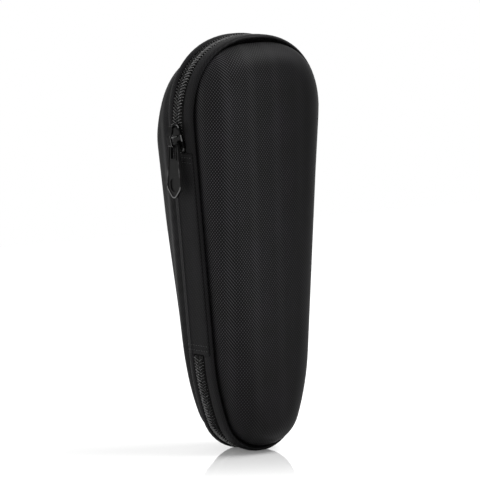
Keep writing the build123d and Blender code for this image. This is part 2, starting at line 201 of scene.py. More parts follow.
def softbox(name, azimuth, elevation, distance, size, power):
    """A square lamp that faces the middle of the case, in metres and watts."""
    away = out_from_case(azimuth, elevation)
    lamp = in_scene(name, bpy.data.lights.new(name, "AREA"))
    lamp.data.size = size
    lamp.data.energy = power
    lamp.location = LOOKED_AT + away * distance
    lamp.rotation_euler = away.to_track_quat("Z", "Y").to_euler()


softbox("key_softbox", 58, 54, 1.4, 0.9, 26)
softbox("left_softbox", -100, 20, 1.2, 0.5, 3.2)
print("lamps:", [lamp.name for lamp in bpy.data.objects if lamp.type == "LIGHT"])

# %% [markdown]
# The floor is a polished white board. Its own colour is pale, and for the camera it is lifted to
# white, so only the soft shadow under the case stays grey. Near the toe the board mirrors the case,
# and the mirror image fades out over 18 centimetres towards the camera.

# %% Floor
bpy.context.scene.view_settings.view_transform = "Standard"
MIRROR_STRENGTH, MIRROR_START, MIRROR_END = 0.58, 0.02, 0.20
floor_mesh = bmesh.new()
bmesh.ops.create_grid(floor_mesh, x_segments=1, y_segments=1, size=0.8)
floor = in_scene("floor", bpy.data.meshes.new("floor"))
floor_mesh.to_mesh(floor.data)
floor_mesh.free()
floor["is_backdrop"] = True
board = bpy.data.materials.new("white_board")
web = Web(board)
web.tree.nodes.clear()
where = web.node("ShaderNodeTexCoord").outputs["Object"]
towards_camera = web.node("ShaderNodeVectorMath", where, out_from_case(AZIMUTH, 0), operation="DOT_PRODUCT")
fade = web.between(
    towards_camera.outputs["Value"], MIRROR_STRENGTH, 0.0, MIRROR_START, MIRROR_END,
    interpolation_type="SMOOTHSTEP",
)
matt = web.node("ShaderNodeBsdfDiffuse", grey(0.9))
lift = web.node("ShaderNodeEmission", grey(0.30), web.node("ShaderNodeLightPath").outputs["Is Camera Ray"])
lifted = web.node("ShaderNodeAddShader", matt.outputs[0], lift.outputs[0])
mirror = web.node("ShaderNodeBsdfGlossy", grey(1), 0.04)
web.node("ShaderNodeOutputMaterial", web.mixed(fade, lifted, mirror).outputs[0])
floor.data.materials.append(board)
print("floor", round(floor.dimensions.x, 2), "m wide")

# %% [markdown]
# Seen from the front, every edge of the case is the same kind of line: one arc over the wide end, two
# straight sides that lean inwards, a flank arc below each and a small arc round the toe. These are the
# sizes of that line for the rims, and for the zipper's chain, which sits a little lower. Moulded cloth
# doesn't keep to a perfect arc: the wide end is a touch squarer, the lid's dome is flatter on top, and
# the rims swell a little on one side.

# %% The outline of the case
# the top arc's radius and centre, the sides' lean in degrees, the toe arc's share of the flank's
# radius, the lowest point, and three departures from the arc: squareness, flatness and swell
Form = namedtuple("Form", "top_radius top_z taper ratio low_z square flat swell", defaults=(1.0, 0.0, 0.0))
Ends = namedtuple("Ends", "normal side_high side_low flank flank_radius toe_center toe_radius")
TOE_ANGLE, SIDE_FULLNESS = 20.9, 0.7
RIM = Form(38.0, 162.0, 4.8, 0.191, 0.0, swell=0.75)
CHAIN = Form(38.3, 160.8, 5.0, 0.191, 0.1)


def solve(form):
    """The centres and tangent points of an outline."""
    lean, turn = radians(form.taper), radians(TOE_ANGLE)
    normal_x, normal_z = cos(lean), -sin(lean)
    high_x, high_z = form.top_radius * normal_x, form.top_z + form.top_radius * normal_z
    rest = 1 - form.ratio
    reach = high_x * normal_x + (high_z - form.low_z) * normal_z
    flank_radius = reach / (1 - rest * cos(turn) * normal_x + normal_z * (form.ratio + rest * sin(turn)))
    toe_radius = form.ratio * flank_radius
    toe_z, apart = form.low_z + toe_radius, flank_radius - toe_radius
    flank = (-cos(turn) * apart, toe_z + sin(turn) * apart)
    side_low = (flank[0] + flank_radius * normal_x, flank[1] + flank_radius * normal_z)
    normal, side_high = (normal_x, normal_z), (high_x, high_z)
    return Ends(normal, side_high, side_low, flank, flank_radius, (0.0, toe_z), toe_radius)


def squared(form, x, z):
    """A point of the upper half, pushed out at the wide end's two corners and in at its middle."""
    if z <= form.top_z:
        return x, z
    around = atan2(x, z - form.top_z)
    push = form.square * sin(2 * around) ** 2 - form.flat * cos(around) ** 2
    if x > 0:
        # the swell is fullest at the corner, and dies away later down the side than over the top
        push += form.swell * max(sin(2 * around), 0) ** (SIDE_FULLNESS if around > pi / 4 else 1.0)
    return x + push * sin(around), z + push * cos(around)


RIM_ENDS = solve(RIM)
print("toe radius", round(RIM_ENDS.toe_radius, 2), "mm, sides end at z =", round(RIM_ENDS.side_low[1], 2))

# %% [markdown]
# Every mesh starts as a drawing, which is what this file calls a bmesh: a mesh that can be edited.
# The helpers do what comes back all the time: they pour one drawing into another, copy it along a
# row of places, pick out the vertices that an operator made, round edges or corners, and turn the
# faces outwards.

# %% Helpers for drawings
def as_mesh(bm, name="drawing"):
    """A drawing as a finished mesh; the drawing itself is used up."""
    mesh = bpy.data.meshes.new(name)
    bm.to_mesh(mesh)
    bm.free()
    return mesh


def add_mesh(bm, mesh):
    """Copies a mesh into a drawing and returns its new vertices and edges there."""
    first_vert, first_edge = len(bm.verts), len(bm.edges)
    bm.from_mesh(mesh)
    bm.verts.ensure_lookup_table()
    bm.edges.ensure_lookup_table()
    return bm.verts[first_vert:], bm.edges[first_edge:]


def pour(bm, part):
    """Moves one drawing into another and returns its new vertices and edges there."""
    mesh = as_mesh(part)
    added = add_mesh(bm, mesh)
    bpy.data.meshes.remove(mesh)
    return added


def set_along(stencil, places):
    """One drawing with a copy of a small one at each place."""
    bm, mesh = bmesh.new(), as_mesh(stencil)
    for place in places:
        bmesh.ops.transform(bm, matrix=place, verts=add_mesh(bm, mesh)[0])
    bpy.data.meshes.remove(mesh)
    return bm


def verts_in(made):
    """The vertices among the parts that an operator made."""
    return [part for part in made if isinstance(part, bmesh.types.BMVert)]


def bevel(bm, parts, offset, segments, affect="EDGES"):
    """Rounds edges, or with VERTICES the corners of a flat outline."""
    bmesh.ops.bevel(
        bm, geom=parts, offset=offset, segments=segments, profile=0.5, affect=affect, material=-1,
        clamp_overlap=True,
    )


def outward(bm):
    """Turns every face of a drawing outwards."""
    bmesh.ops.recalc_face_normals(bm, faces=bm.faces)
    return bm


print("drawings can be poured together, set along places and bevelled")

# %% [markdown]
# One line of the outline is drawn as a maker would with a compass: a single vertex is spun about each
# centre in turn, extruded along the straight side, and the right half is mirrored. Every line drawn
# this way has the same vertices in the same order, so any two can be bridged into an even wall.

# %% A line of the outline
TOP_STEPS, SIDE_STEPS, FLANK_STEPS, TOE_STEPS = 22, 26, 8, 9


def turned(bm, tip, center, angle, steps):
    """Spins the end of a line about a centre in its own plane, and returns the new end."""
    pivot = (center[0], tip.co.y, center[1])
    made = bmesh.ops.spin(bm, geom=[tip], cent=pivot, axis=(0, 1, 0), angle=radians(angle), steps=steps)
    return verts_in(made["geom_last"])[0]


def straight(bm, tip, x, z, steps):
    """Extrudes the end of a line to a place in its own plane, in equal steps."""
    step = (Vector((x, tip.co.y, z)) - tip.co) / steps
    for _ in range(steps):
        made = bmesh.ops.extrude_vert_indiv(bm, verts=[tip])["verts"][0]
        made.co = tip.co + step
        tip = made
    return tip


def ring(bm, form, inset, y):
    """Adds one closed line of an outline, shrunk by an inset, and returns its vertices and edges."""
    ends = solve(form)
    line = bmesh.new()
    tip = line.verts.new((0, y, form.top_z + form.top_radius - inset))
    tip = turned(line, tip, (0, form.top_z), 90 + form.taper, TOP_STEPS)
    low_x, low_z = (low - inset * normal for low, normal in zip(ends.side_low, ends.normal))
    tip = straight(line, tip, low_x, low_z, SIDE_STEPS)
    tip = turned(line, tip, ends.flank, TOE_ANGLE - form.taper, FLANK_STEPS)
    turned(line, tip, ends.toe_center, 90 - TOE_ANGLE, TOE_STEPS)
    bmesh.ops.mirror(line, geom=line.verts[:] + line.edges[:], merge_dist=0.001, axis="X")
    for vert in line.verts:
        vert.co.x, vert.co.z = squared(form, vert.co.x, vert.co.z)
    return pour(bm, line)


def ring_places(form, inset):
    """Where the vertices of such a line lie, from a line drawn only to be measured."""
    bm = bmesh.new()
    places = [vert.co.copy() for vert in ring(bm, form, inset, 0)[0]]
    bm.free()
    return places


OUTWARDS = [outer - inner for outer, inner in zip(ring_places(RIM, 0), ring_places(RIM, 1))]
print("a line has", len(OUTWARDS), "vertices")

# %% [markdown]
# A moulded cover is one piece of woven nylon, so its weave must run on over the shoulder without a
# break. Walls are built from the deepest line outwards, and each vertex also remembers where it lay on
# the flat cloth: the distance walked over the surface, measured out from the flat face.

# %% Walls and their cloth coordinates
def wall(lines):
    """Bridges outline lines, given from the deepest to the rim as (form, inset, y), into one wall with
    a cloth attribute, and closes its deepest end."""
    bm = bmesh.new()
    cloth = bm.verts.layers.float_vector.new("cloth")
    before_verts = before_edges = None
    for form, inset, y in lines:
        verts, edges = ring(bm, form, inset, y)
        for place, vert in enumerate(verts):
            if before_verts is None:
                vert[cloth] = (vert.co.x, vert.co.z, 0)
            else:
                old = before_verts[place]
                walked = OUTWARDS[place] * (vert.co - old.co).length
                vert[cloth] = (old[cloth].x + walked.x, old[cloth].y + walked.z, 0)
        if before_edges is None:
            bmesh.ops.contextual_create(bm, geom=edges)
        else:
            bmesh.ops.bridge_loops(bm, edges=before_edges + edges)
            bm.edges.ensure_lookup_table()
        before_verts, before_edges = verts, edges
    return bm


print("every wall keeps its cloth's own coordinates")

# %% [markdown]
# A finished drawing becomes a piece: it is taken to the frame, gets smooth shading and its finish, and
# rides on its body, in place of the solids it stands for, which are hidden. A cover or a lining is
# drawn as one surface and gets its thickness from a modifier.

# %% From a drawing to a piece
def piece_from(bm, name, material, slot_name, body, *nodes):
    """Turns a drawing in millimetres into a finished piece on its body, in place of its solids."""
    bmesh.ops.transform(bm, matrix=TO_FRAME, verts=bm.verts)
    for face in bm.faces:
        face.smooth = True
    piece = in_scene(name, as_mesh(bm, name))
    piece.data.materials.append(material)
    if body:
        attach(piece, body)
    if nodes:
        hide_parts(*nodes)
    print(name, len(piece.data.polygons), "faces")
    return piece


def thicken(piece, thickness):
    """Gives a wall its thickness, inwards from the drawn side."""
    solid = piece.modifiers.new("cloth thickness", "SOLIDIFY")
    solid.thickness = thickness
    solid.offset = -1


print("pieces are smooth and ride on their bodies")

# %% [markdown]
# A finish is a web of nodes round one surface shader. The steps below come back in many of them: the
# cloth's own millimetres, ribs, soft patches, and a ramp from dark to light.

# %% A bench for mixing finishes
class Finish(Web):
    """A material being mixed."""

    def __init__(self, name, specular=0.5):
        self.material = bpy.data.materials.new(name)
        super().__init__(self.material)
        self.surface = self.tree.nodes["Principled BSDF"]
        self.surface.inputs["Specular IOR Level"].default_value = specular

    def attribute(self, name):
        """The outputs of a value that the mesh carries."""
        return self.node("ShaderNodeAttribute", attribute_name=name).outputs

    def cloth(self):
        """Millimetres across and along the flat cloth."""
        parts = self.node("ShaderNodeSeparateXYZ", self.attribute("cloth")["Vector"])
        return parts.outputs["X"], parts.outputs["Y"]

    def noise(self, size, detail=3.0):
        """Soft irregular patches of about a size in millimetres, from 0 to 1."""
        where = self.node("ShaderNodeTexCoord").outputs["Object"]
        place = self.node("ShaderNodeVectorMath", where, (1000, 1000, 1000), operation="MULTIPLY")
        made = self.node("ShaderNodeTexNoise", place.outputs[0])
        made.inputs["Scale"].default_value = 1 / size
        made.inputs["Detail"].default_value = detail
        return made.outputs["Fac"]

    def turns(self, place, pitch):
        """An angle that goes once round in each pitch, in millimetres."""
        return self.math("MULTIPLY", place, 2 * pi / pitch)

    def ribs(self, place, pitch, low=0.5, high=1.0):
        """Even ribs, from low between them to high on top."""
        return self.between(self.math("SINE", self.turns(place, pitch)), low, high)

    def ramp(self, factor, *stops):
        """A colour from a few stops of (place, grey or colour)."""
        made = self.node("ShaderNodeValToRGB", factor)
        bar = made.color_ramp.elements
        while len(bar) < len(stops):
            bar.new(0.5)
        for spot, (where, color) in zip(bar, stops):
            spot.position = where
            spot.color = (*color, 1) if isinstance(color, tuple) else grey(color)
        return made.outputs["Color"]

    def wears(self, color, roughness, height=None, depth=0.0001):
        """Links a colour, a roughness and a height in units of a depth, in metres, to the surface."""
        self.tree.links.new(color, self.surface.inputs["Base Color"])
        self.tree.links.new(roughness, self.surface.inputs["Roughness"])
        if height is not None:
            bump = self.node("ShaderNodeBump")
            bump.inputs["Distance"].default_value = depth
            self.tree.links.new(height, bump.inputs["Height"])
            self.tree.links.new(bump.outputs[0], self.surface.inputs["Normal"])
        return self.material


print("finishes are mixed with sizes in millimetres")

# %% [markdown]
# Ballistic nylon is a coarse plain weave of thick filament yarns. Where a warp yarn lies on top it
# catches the light, and where a weft yarn lies on top the cloth looks nearly black, so the surface reads
# as a lattice of small diamonds. Two cosine waves that run diagonally across each other make just such
# a lattice with soft edges, and where one outweighs the other the weave drifts into slanting lines.
# The warp's light and the weft's dark are painted into the colour. On the lid this painted contrast
# grows fainter towards the far side, standing in for how the light falls across the weave there, and it
# also grows fainter towards the toe.

# %% Woven nylon
WEAVE_ACROSS, WEAVE_ALONG, WEAVE_DRIFT = 1.43, 1.77, 14.0
CLEAR_X, FAINT_X, FAINT_Z, CLEAR_Z = -22.0, 22.0, 15.0, 75.0


def weave(finish, x, z, across):
    """A plain weave with a herringbone drift: 1 where a warp yarn is on top, 0.5 where a weft yarn is."""
    u, v = finish.turns(x, across), finish.turns(z, WEAVE_ALONG)
    rising = finish.math("COSINE", finish.math("ADD", u, v))
    falling = finish.math("COSINE", finish.math("SUBTRACT", u, v))
    drift = finish.ribs(x, WEAVE_DRIFT, 0.5, 0.9)
    both = finish.math("MULTIPLY_ADD", rising, drift,
                       finish.math("MULTIPLY", falling, finish.math("SUBTRACT", 1.0, drift)))
    return finish.between(both, 0.5, 1.0)


def mix_woven_nylon(name, dark, plain, light, across=WEAVE_ACROSS, fades=False, specular=0.05):
    """Black nylon cloth, whose warp yarns get a painted sheen against the weft, which may fade to a plain
    tone.
    """
    finish = Finish(name, specular)
    x, z = finish.cloth()
    yarns = weave(finish, x, z, across)
    if fades:
        # painted light: the weave's contrast fades towards the lid's far side, where less light shows it, and
        # also towards the toe
        clear = finish.math("MULTIPLY", finish.between(x, 1.0, 0.12, CLEAR_X, FAINT_X),
                            finish.between(z, 0.4, 1.0, FAINT_Z, CLEAR_Z))
        yarns = finish.math("MULTIPLY_ADD", finish.math("SUBTRACT", yarns, 0.5), clear, 0.5)
    yarn_sheen = finish.ramp(yarns, (0.1, dark), (0.5, plain), (0.95, light))
    tone = finish.ramp(finish.noise(16.0), (0.3, (0.86, 0.86, 0.87)), (0.7, (1.04, 1.0, 1.10)))
    color = finish.node("ShaderNodeMix", data_type="RGBA", blend_type="MULTIPLY")
    color.inputs["Factor"].default_value = 1.0
    finish.tree.links.new(yarn_sheen, color.inputs["A"])
    finish.tree.links.new(tone, color.inputs["B"])
    return finish.wears(color.outputs["Result"], finish.between(yarns, 0.62, 0.45), yarns)


woven_nylon = mix_woven_nylon("woven_nylon", 0.0002, 0.0040, 0.048, fades=True, specular=0.045)
shell_nylon = mix_woven_nylon("shell_nylon", 0.002, 0.0055, 0.010, specular=0.035)
welt_nylon = mix_woven_nylon("welt_nylon", 0.001, 0.0055, 0.013, across=1.3)
print("weave", WEAVE_ACROSS, "mm across and", WEAVE_ALONG, "mm along")

# %% [markdown]
# The lid is a shallow dome with a nearly flat face: straight up from the rim, then round a shoulder of
# 13 mm. Its cover is one wall from the face to the edge that the rim hides, given the cloth's thickness
# by a Solidify modifier, which is how a real cover is laminated on the foam.

# %% Lid cover
COVER_INSET, COVER_THICKNESS = 3.0, 0.0009
LID_DEPTH, SHOULDER, SHOULDER_STEPS = 23.0, 12.9, 12
FACE_RINGS, FACE_CROWN, EDGE_DEPTHS = (9.0, 6.0, 3.0), 0.04, (8.0, 6.0, 4.0)
TOE_DEEPENING, DEEPENING_MIDDLE, DEEPENING_START, DEEPENING_RANGE = 1.6, 100, 4, 15
LID = RIM._replace(square=2.6, flat=0.9)


def lid_lines(inset):
    """The lines of the lid's dome, shrunk by an inset, from its face to its edge."""
    middle, radius, face = SHOULDER + COVER_INSET, SHOULDER - inset, LID_DEPTH - inset
    for nearer in FACE_RINGS:
        yield LID, middle + nearer * 0.6, -face - FACE_CROWN * nearer
    for step in range(SHOULDER_STEPS, -1, -1):
        turn = radians(90 * step / SHOULDER_STEPS)
        yield LID, middle - radius * cos(turn), -(LID_DEPTH - SHOULDER) - radius * sin(turn)
    for depth in EDGE_DEPTHS:
        yield LID, COVER_INSET + inset, -depth


def deepen_toe(bm):
    """Makes the lid's dome a little deeper at its toe than at the wide end."""
    for vert in bm.verts:
        share = min(max((-vert.co.y - DEEPENING_START) / DEEPENING_RANGE, 0), 1)
        vert.co.y -= TOE_DEEPENING * (DEEPENING_MIDDLE - vert.co.z) / 100 * share


bm = wall(lid_lines(0))
deepen_toe(bm)
lid_cover = piece_from(outward(bm), "lid_cover", woven_nylon, "woven_nylon", "front_half", "front_cover")
thicken(lid_cover, COVER_THICKNESS)

# %% [markdown]
# The deep half is moulded in one smooth sweep, from a foot as long as the rim to a small crown. Its
# shape is drawn at seven levels. Between them each number of the outline follows a smooth curve that
# never overshoots (a monotone cubic), because a ripple would show at once on black cloth.

# %% Levels of the deep half
# depth, then radius of the top arc, its centre, lean, toe ratio, lowest point and squareness
BACK_LEVELS = (
    (4.0, 38.0, 162.0, 4.8, 0.191, 0.0, 0.8),
    (8.4, 38.0, 162.0, 4.8, 0.191, 0.0, 0.8),
    (15.2, 37.8, 158.3, 4.9, 0.191, 2.5, 0.6),
    (21.0, 35.9, 158.5, 5.3, 0.30, 30.7, 0.5),
    (29.5, 32.3, 150.5, 6.3, 0.60, 85.1, 0.4),
    (35.0, 26.0, 146.8, 7.3, 0.80, 114.7, 0.2),
    (38.0, 12.8, 151.2, 7.8, 0.95, 130.3, 0.0),
)


def smooth_between(stations, rows, where):
    """Values at a station, from rows of known values, along curves that don't overshoot."""
    last = len(stations) - 1
    span = min(max(sum(station <= where for station in stations) - 1, 0), last - 1)

    def chord(row, column):
        return (rows[row + 1][column] - rows[row][column]) / (stations[row + 1] - stations[row])

    def slope(row, column):
        if row in (0, last):
            return chord(min(row, last - 1), column)
        before, after = chord(row - 1, column), chord(row, column)
        return 0.0 if before * after <= 0 else 2 * before * after / (before + after)

    step = stations[span + 1] - stations[span]
    t = (where - stations[span]) / step
    weights = (2 * t**3 - 3 * t**2 + 1, t**3 - 2 * t**2 + t, 3 * t**2 - 2 * t**3, t**3 - t**2)
    values = []
    for column in range(len(rows[0])):
        leaving, arriving = slope(span, column) * step, slope(span + 1, column) * step
        ends = (rows[span][column], leaving, rows[span + 1][column], arriving)
        values.append(sum(weight * end for weight, end in zip(weights, ends)))
    return values


print("levels at these depths, in mm:", [level[0] for level in BACK_LEVELS])

# %% [markdown]
# The levels are set apart by how far the dome's surface runs between them, so that the lines lie evenly
# on it. The lining will use the same lines, shrunk by an inset: beside the rim they only move sideways,
# and at the crown they move down as well.

# %% Cover of the deep half
BACK_STEPS, CROWN_RINGS, CROWN_RISE, CROWN_REACH = 34, (6.0, 3.5), 0.06, 7.6
# how much of an inset each level sinks by
BACK_SINKS = (0.0, 0.0, 0.4, 0.9, 1.0, 1.0, 1.0)


def back_lines(inset):
    """The lines of the deep half's dome, shrunk by an inset, from its crown to its edge."""
    rows = [(level[0] - inset * sink, *level[1:]) for level, sink in zip(BACK_LEVELS, BACK_SINKS)]
    stations = [0.0]
    for one, two in zip(rows, rows[1:]):
        # the surface also runs on as the arc narrows and its low point rises, but less than it deepens
        deeper, narrower, higher = (two[column] - one[column] for column in (0, 1, 5))
        stations.append(stations[-1] + hypot(deeper, 0.7 * narrower, 0.12 * higher))
    depth, *numbers = rows[-1]
    for nearer in CROWN_RINGS:
        # an inner crown is smaller, so its lines lie closer together
        nearer *= 1 - inset / CROWN_REACH
        yield Form(*numbers), COVER_INSET + inset + nearer, depth + CROWN_RISE * nearer
    for step in range(BACK_STEPS, -1, -1):
        depth, *numbers = smooth_between(stations, rows, stations[-1] * step / BACK_STEPS)
        yield Form(*numbers), COVER_INSET + inset, depth


bm = outward(wall(back_lines(0)))
back_shell = piece_from(bm, "back_shell_cover", shell_nylon, "woven_nylon", "back_half", "back_cover")
thicken(back_shell, COVER_THICKNESS)

# %% [markdown]
# The rim is a welt: a strip of the same nylon folded round a cord of foam and sewn between the shell
# and the zipper. A deep seam keeps it apart from the dome and shows as a soft black line. Its cross
# section is a closed loop of outline lines, so it is swept by bridging the last line to the first.
# The case stands on its narrow end, where the welts are pressed flat.

# %% Rims
FOOT_RISE = -DRAWING_ORIGIN.z * 1000
LID_WELT_TOP, BACK_WELT_TOP = 11.1, 8.4


def welt_section(top):
    """The section as (inset, distance from the parting plane), down into the seam beside the dome."""
    return (
        (4.3, 4.05), (1.9, 4.0), (1.0, 4.05), (0.42, 4.3), (0.08, 4.85), (0.0, 5.6), (0.0, top - 2.6),
        (0.04, top - 1.7), (0.2, top - 1.0), (0.5, top - 0.45), (0.95, top - 0.12), (1.4, top - 0.15),
        (1.8, top - 0.55), (2.1, top - 1.3), (2.35, top - 2.1), (4.3, top - 2.6),
    )


def swept_loop(section, side):
    """Bridges the outline lines of a closed section into a ring with a cloth attribute."""
    bm = bmesh.new()
    cloth = bm.verts.layers.float_vector.new("cloth")
    lines, walked, before = [], 0.0, section[0]
    for inset, depth in section:
        walked += hypot(inset - before[0], depth - before[1])
        before = (inset, depth)
        verts, edges = ring(bm, RIM, inset, side * depth)
        for vert in verts:
            vert[cloth] = (walked, vert.co.z, 0)
        lines.append(edges)
    for one, two in zip(lines, lines[1:] + lines[:1]):
        bmesh.ops.bridge_loops(bm, edges=one + two)
    return bm


def make_welt(name, top, side, body, node):
    """The welt of one half, with its toe set down flat on the foot."""
    bm = swept_loop(welt_section(top), side)
    for vert in bm.verts:
        vert.co.z = max(vert.co.z, FOOT_RISE)
    piece_from(outward(bm), name, welt_nylon, "woven_nylon", body, node)


make_welt("lid_welt", LID_WELT_TOP, -1, "front_half", "front_rim")
make_welt("back_welt", BACK_WELT_TOP, 1, "back_half", "back_rim")

# %% [markdown]
# Inside, a soft cloth covers the foam and folds over the edge of each shell, up to the zipper tape. It
# is drawn on the foam's inner surface with the same lines, so it follows the dome all the way down.

# %% Linings
LINING_INSET, FOLD_DEPTH, LINING_THICKNESS = 4.8, 6.5, 0.0007
FOLD = ((7.8, 6.0), (7.75, 4.9), (7.5, 4.3), (7.0, 3.99), (5.5, 3.96), (4.0, 3.94), (3.05, 3.92))


def mix_lining_cloth():
    """Brushed tricot: fine vertical ribs under a short nap."""
    finish = Finish("lining_cloth", specular=0.15)
    x, z = finish.cloth()
    nap = finish.noise(0.8, 6.0)
    height = finish.math("MULTIPLY_ADD", finish.ribs(x, 0.9), 0.5, nap)
    finish.surface.inputs["Sheen Weight"].default_value = 0.15
    color = finish.ramp(nap, (0.3, 0.018), (0.7, 0.038))
    return finish.wears(color, finish.between(nap, 0.75, 0.95), height, 0.00015)


def make_lining(name, dome, side, body, *nodes):
    """A lining that faces the hollow, from the dome's lines and the fold over the shell's edge, and is
    thickened towards the foam."""
    lines = [line for line in dome if abs(line[2]) > FOLD_DEPTH]
    bm = wall(lines + [(RIM, inset, side * depth) for inset, depth in FOLD])
    deepen_toe(bm)
    bmesh.ops.reverse_faces(bm, faces=outward(bm).faces)
    thicken(piece_from(bm, name, lining_cloth, "lining_cloth", body, *nodes), LINING_THICKNESS)


lining_cloth = mix_lining_cloth()
make_lining("lid_lining", lid_lines(LINING_INSET), -1, "front_half", "front_lining", "front_foam")
make_lining("deep_lining", back_lines(LINING_INSET), 1, "back_half", "back_lining", "back_foam")

# %% [markdown]
# The chain follows its own outline, but not all the way round: it starts beside the hinge's upper end,
# climbs over the wide end, comes down the right side, rounds the toe and ends below the hinge. Places
# along it are measured by length from the start, as a tailor measures a zipper.

# %% Places along the chain
CHAIN_ENDS = solve(CHAIN)
HINGE_LOW_Z, HINGE_HIGH_Z, CHAIN_END_GAP = 48.611, 142.5, 0.5


def chain_runs():
    """The chain's arcs as (centre x, centre z, radius, start, end) in degrees clockwise from the top,
    and its straights as (x, z, x, z)."""
    below_center = (CHAIN.top_z - HINGE_HIGH_Z - CHAIN_END_GAP) / CHAIN.top_radius
    start = -90 - degrees(asin(below_center))
    side, toe = 90 + CHAIN.taper, 90 + TOE_ANGLE
    high, low, flank = CHAIN_ENDS.side_high, CHAIN_ENDS.side_low, CHAIN_ENDS.flank
    end_z = HINGE_LOW_Z - CHAIN_END_GAP
    end_x = -low[0] - (end_z - low[1]) * tan(radians(CHAIN.taper))
    yield 0.0, CHAIN.top_z, CHAIN.top_radius, start, side
    yield (*high, *low)
    yield (*flank, CHAIN_ENDS.flank_radius, side, toe)
    yield (*CHAIN_ENDS.toe_center, CHAIN_ENDS.toe_radius, toe, 360 - toe)
    yield (-flank[0], flank[1], CHAIN_ENDS.flank_radius, 360 - toe, 360 - side)
    yield -low[0], low[1], end_x, end_z


def run_length(run):
    """The length of an arc or a straight of the chain."""
    if len(run) == 4:
        return hypot(run[2] - run[0], run[3] - run[1])
    return run[2] * radians(run[4] - run[3])


CHAIN_RUNS = list(chain_runs())
CHAIN_LENGTH = sum(run_length(run) for run in CHAIN_RUNS)
print("the chain is", round(CHAIN_LENGTH, 1), "mm long, in", len(CHAIN_RUNS), "runs")

# %% [markdown]
# A turn, a stitch or the slider is set down on the chain by one matrix. The runs are walked through
# until the length is used up, and the place that is found is squared as the rims' own line is.

# %% A place on the chain
def placed(where, along, across, out):
    """A matrix that sets a drawing down at a place, with its x, y and z in three directions."""
    return Matrix.Translation(where) @ Matrix((along, across, out)).transposed().to_4x4()


def at_chain(length, depth=0.0, y=0.0):
    """A place at a length along the chain and a depth below its line: x runs along the chain, y is the
    frame's and z points outwards."""
    for run in CHAIN_RUNS:
        if length <= run_length(run) or run is CHAIN_RUNS[-1]:
            break
        length -= run_length(run)
    if len(run) == 4:
        ahead = Vector((run[2] - run[0], 0, run[3] - run[1])).normalized()
        place = Vector((run[0], 0, run[1])) + ahead * length
    else:
        turn = radians(run[3]) + length / run[2]
        ahead = Vector((cos(turn), 0, -sin(turn)))
        place = Vector((run[0] + run[2] * sin(turn), 0, run[1] + run[2] * cos(turn)))
    out = ahead.cross(Vector((0, 1, 0)))
    place.x, place.z = squared(CHAIN, place.x, place.z)
    return placed(place - out * depth + Vector((0, y, 0)), ahead, (0, 1, 0), out)


for end in (0, CHAIN_LENGTH):
    print("an end of the chain:", [round(value, 1) for value in at_chain(end).translation])

# %% [markdown]
# Nylon, thread, enamel and plastic are all plain surfaces whose colour and gloss drift softly, so one
# recipe serves them. The edges of hard parts get a painted highlight, a paler colour that stands in for
# the light they catch: a face says by itself how much of it it gets.

# %% Plain surfaces
def mix_plain(name, dark, light, rough, specular, patch, metallic=0.0, painted_highlight=None):
    """A surface from dark to light in patches of a size, and paler where it has a painted highlight."""
    finish = Finish(name, specular)
    finish.surface.inputs["Metallic"].default_value = metallic
    clouds = finish.noise(patch)
    stops, shade = [(0.3, dark), (0.7, light)], clouds
    if painted_highlight:
        stops.append((1.0, painted_highlight))
        shade = finish.math("ADD", clouds, finish.attribute("painted_highlight")["Fac"])
    return finish.wears(finish.ramp(shade, *stops), finish.between(clouds, *rough))


def paint_highlight(bm, highlight_share):
    """Marks how much painted highlight each face gets, standing in for the light on its edges."""
    highlight_layer = bm.faces.layers.float.new("painted_highlight")
    bm.normal_update()
    for face in bm.faces:
        face[highlight_layer] = float(highlight_share(face))


# the coil is black nylon; its pale grey is a painted highlight that stands in for the glints on its turns
nylon_filament = mix_plain("nylon_filament", 0.30, 0.48, (0.25, 0.4), 0.5, 1.2)
sewing_thread = mix_plain("sewing_thread", 0.007, 0.018, (0.4, 0.6), 0.3, 0.25)
net_thread = mix_plain("net_thread", 0.008, 0.024, (0.45, 0.65), 0.3, 0.4)
# the last grey of the enamel and of the tab's plastic is a painted highlight on their edges
black_enamel = mix_plain("black_enamel", 0.001, 0.003, (0.14, 0.22), 0.06, 4.0, painted_highlight=0.13)
tab_plastic = mix_plain("moulded_plastic", 0.004, 0.007, (0.3, 0.42), 0.08, 4.0, painted_highlight=0.12)
bare_steel = mix_plain("bare_steel", 0.45, 0.55, (0.3, 0.42), 0.5, 1.0, metallic=1.0)
painted_stop = mix_plain("painted_stop", 0.004, 0.010, (0.35, 0.5), 0.4, 1.5)
print("materials:", [material.name for material in bpy.data.materials])

# %% [markdown]
# A coil zipper has no separate teeth: each half is one thick nylon filament wound into flat loops and
# sewn to the tape. From outside, every turn shows as a short slanted stroke whose head reaches over the
# middle, between two heads of the other half. One turn is modelled as a small bent ring and set down
# along the chain, which keeps it to a few dozen faces. The turns stand proud of the chain's line, but
# they sink to it under the narrow end, where the case stands.

# %% Turns of the coils
PITCH, FIRST_TURN, LAST_GAP = 1.5, 0.7, 1.2
COIL_LOW, COIL_HIGH = -0.1, 3.15
COIL_SINK, COIL_THICKNESS, COIL_RISE = 0.4, 1.8, 1.2
FILAMENT_RADIUS, FILAMENT_INSET, FILAMENT_SIDES, TURN_STEPS = 0.36, 0.33, 6, 10
TURN_SLANT, TURN_SQUARENESS = 0.5, 1.6
SINK_START_Z, SINK_RANGE = 14.0, 11.0
HALVES = (("lid", "front", -1), ("deep", "back", 1))


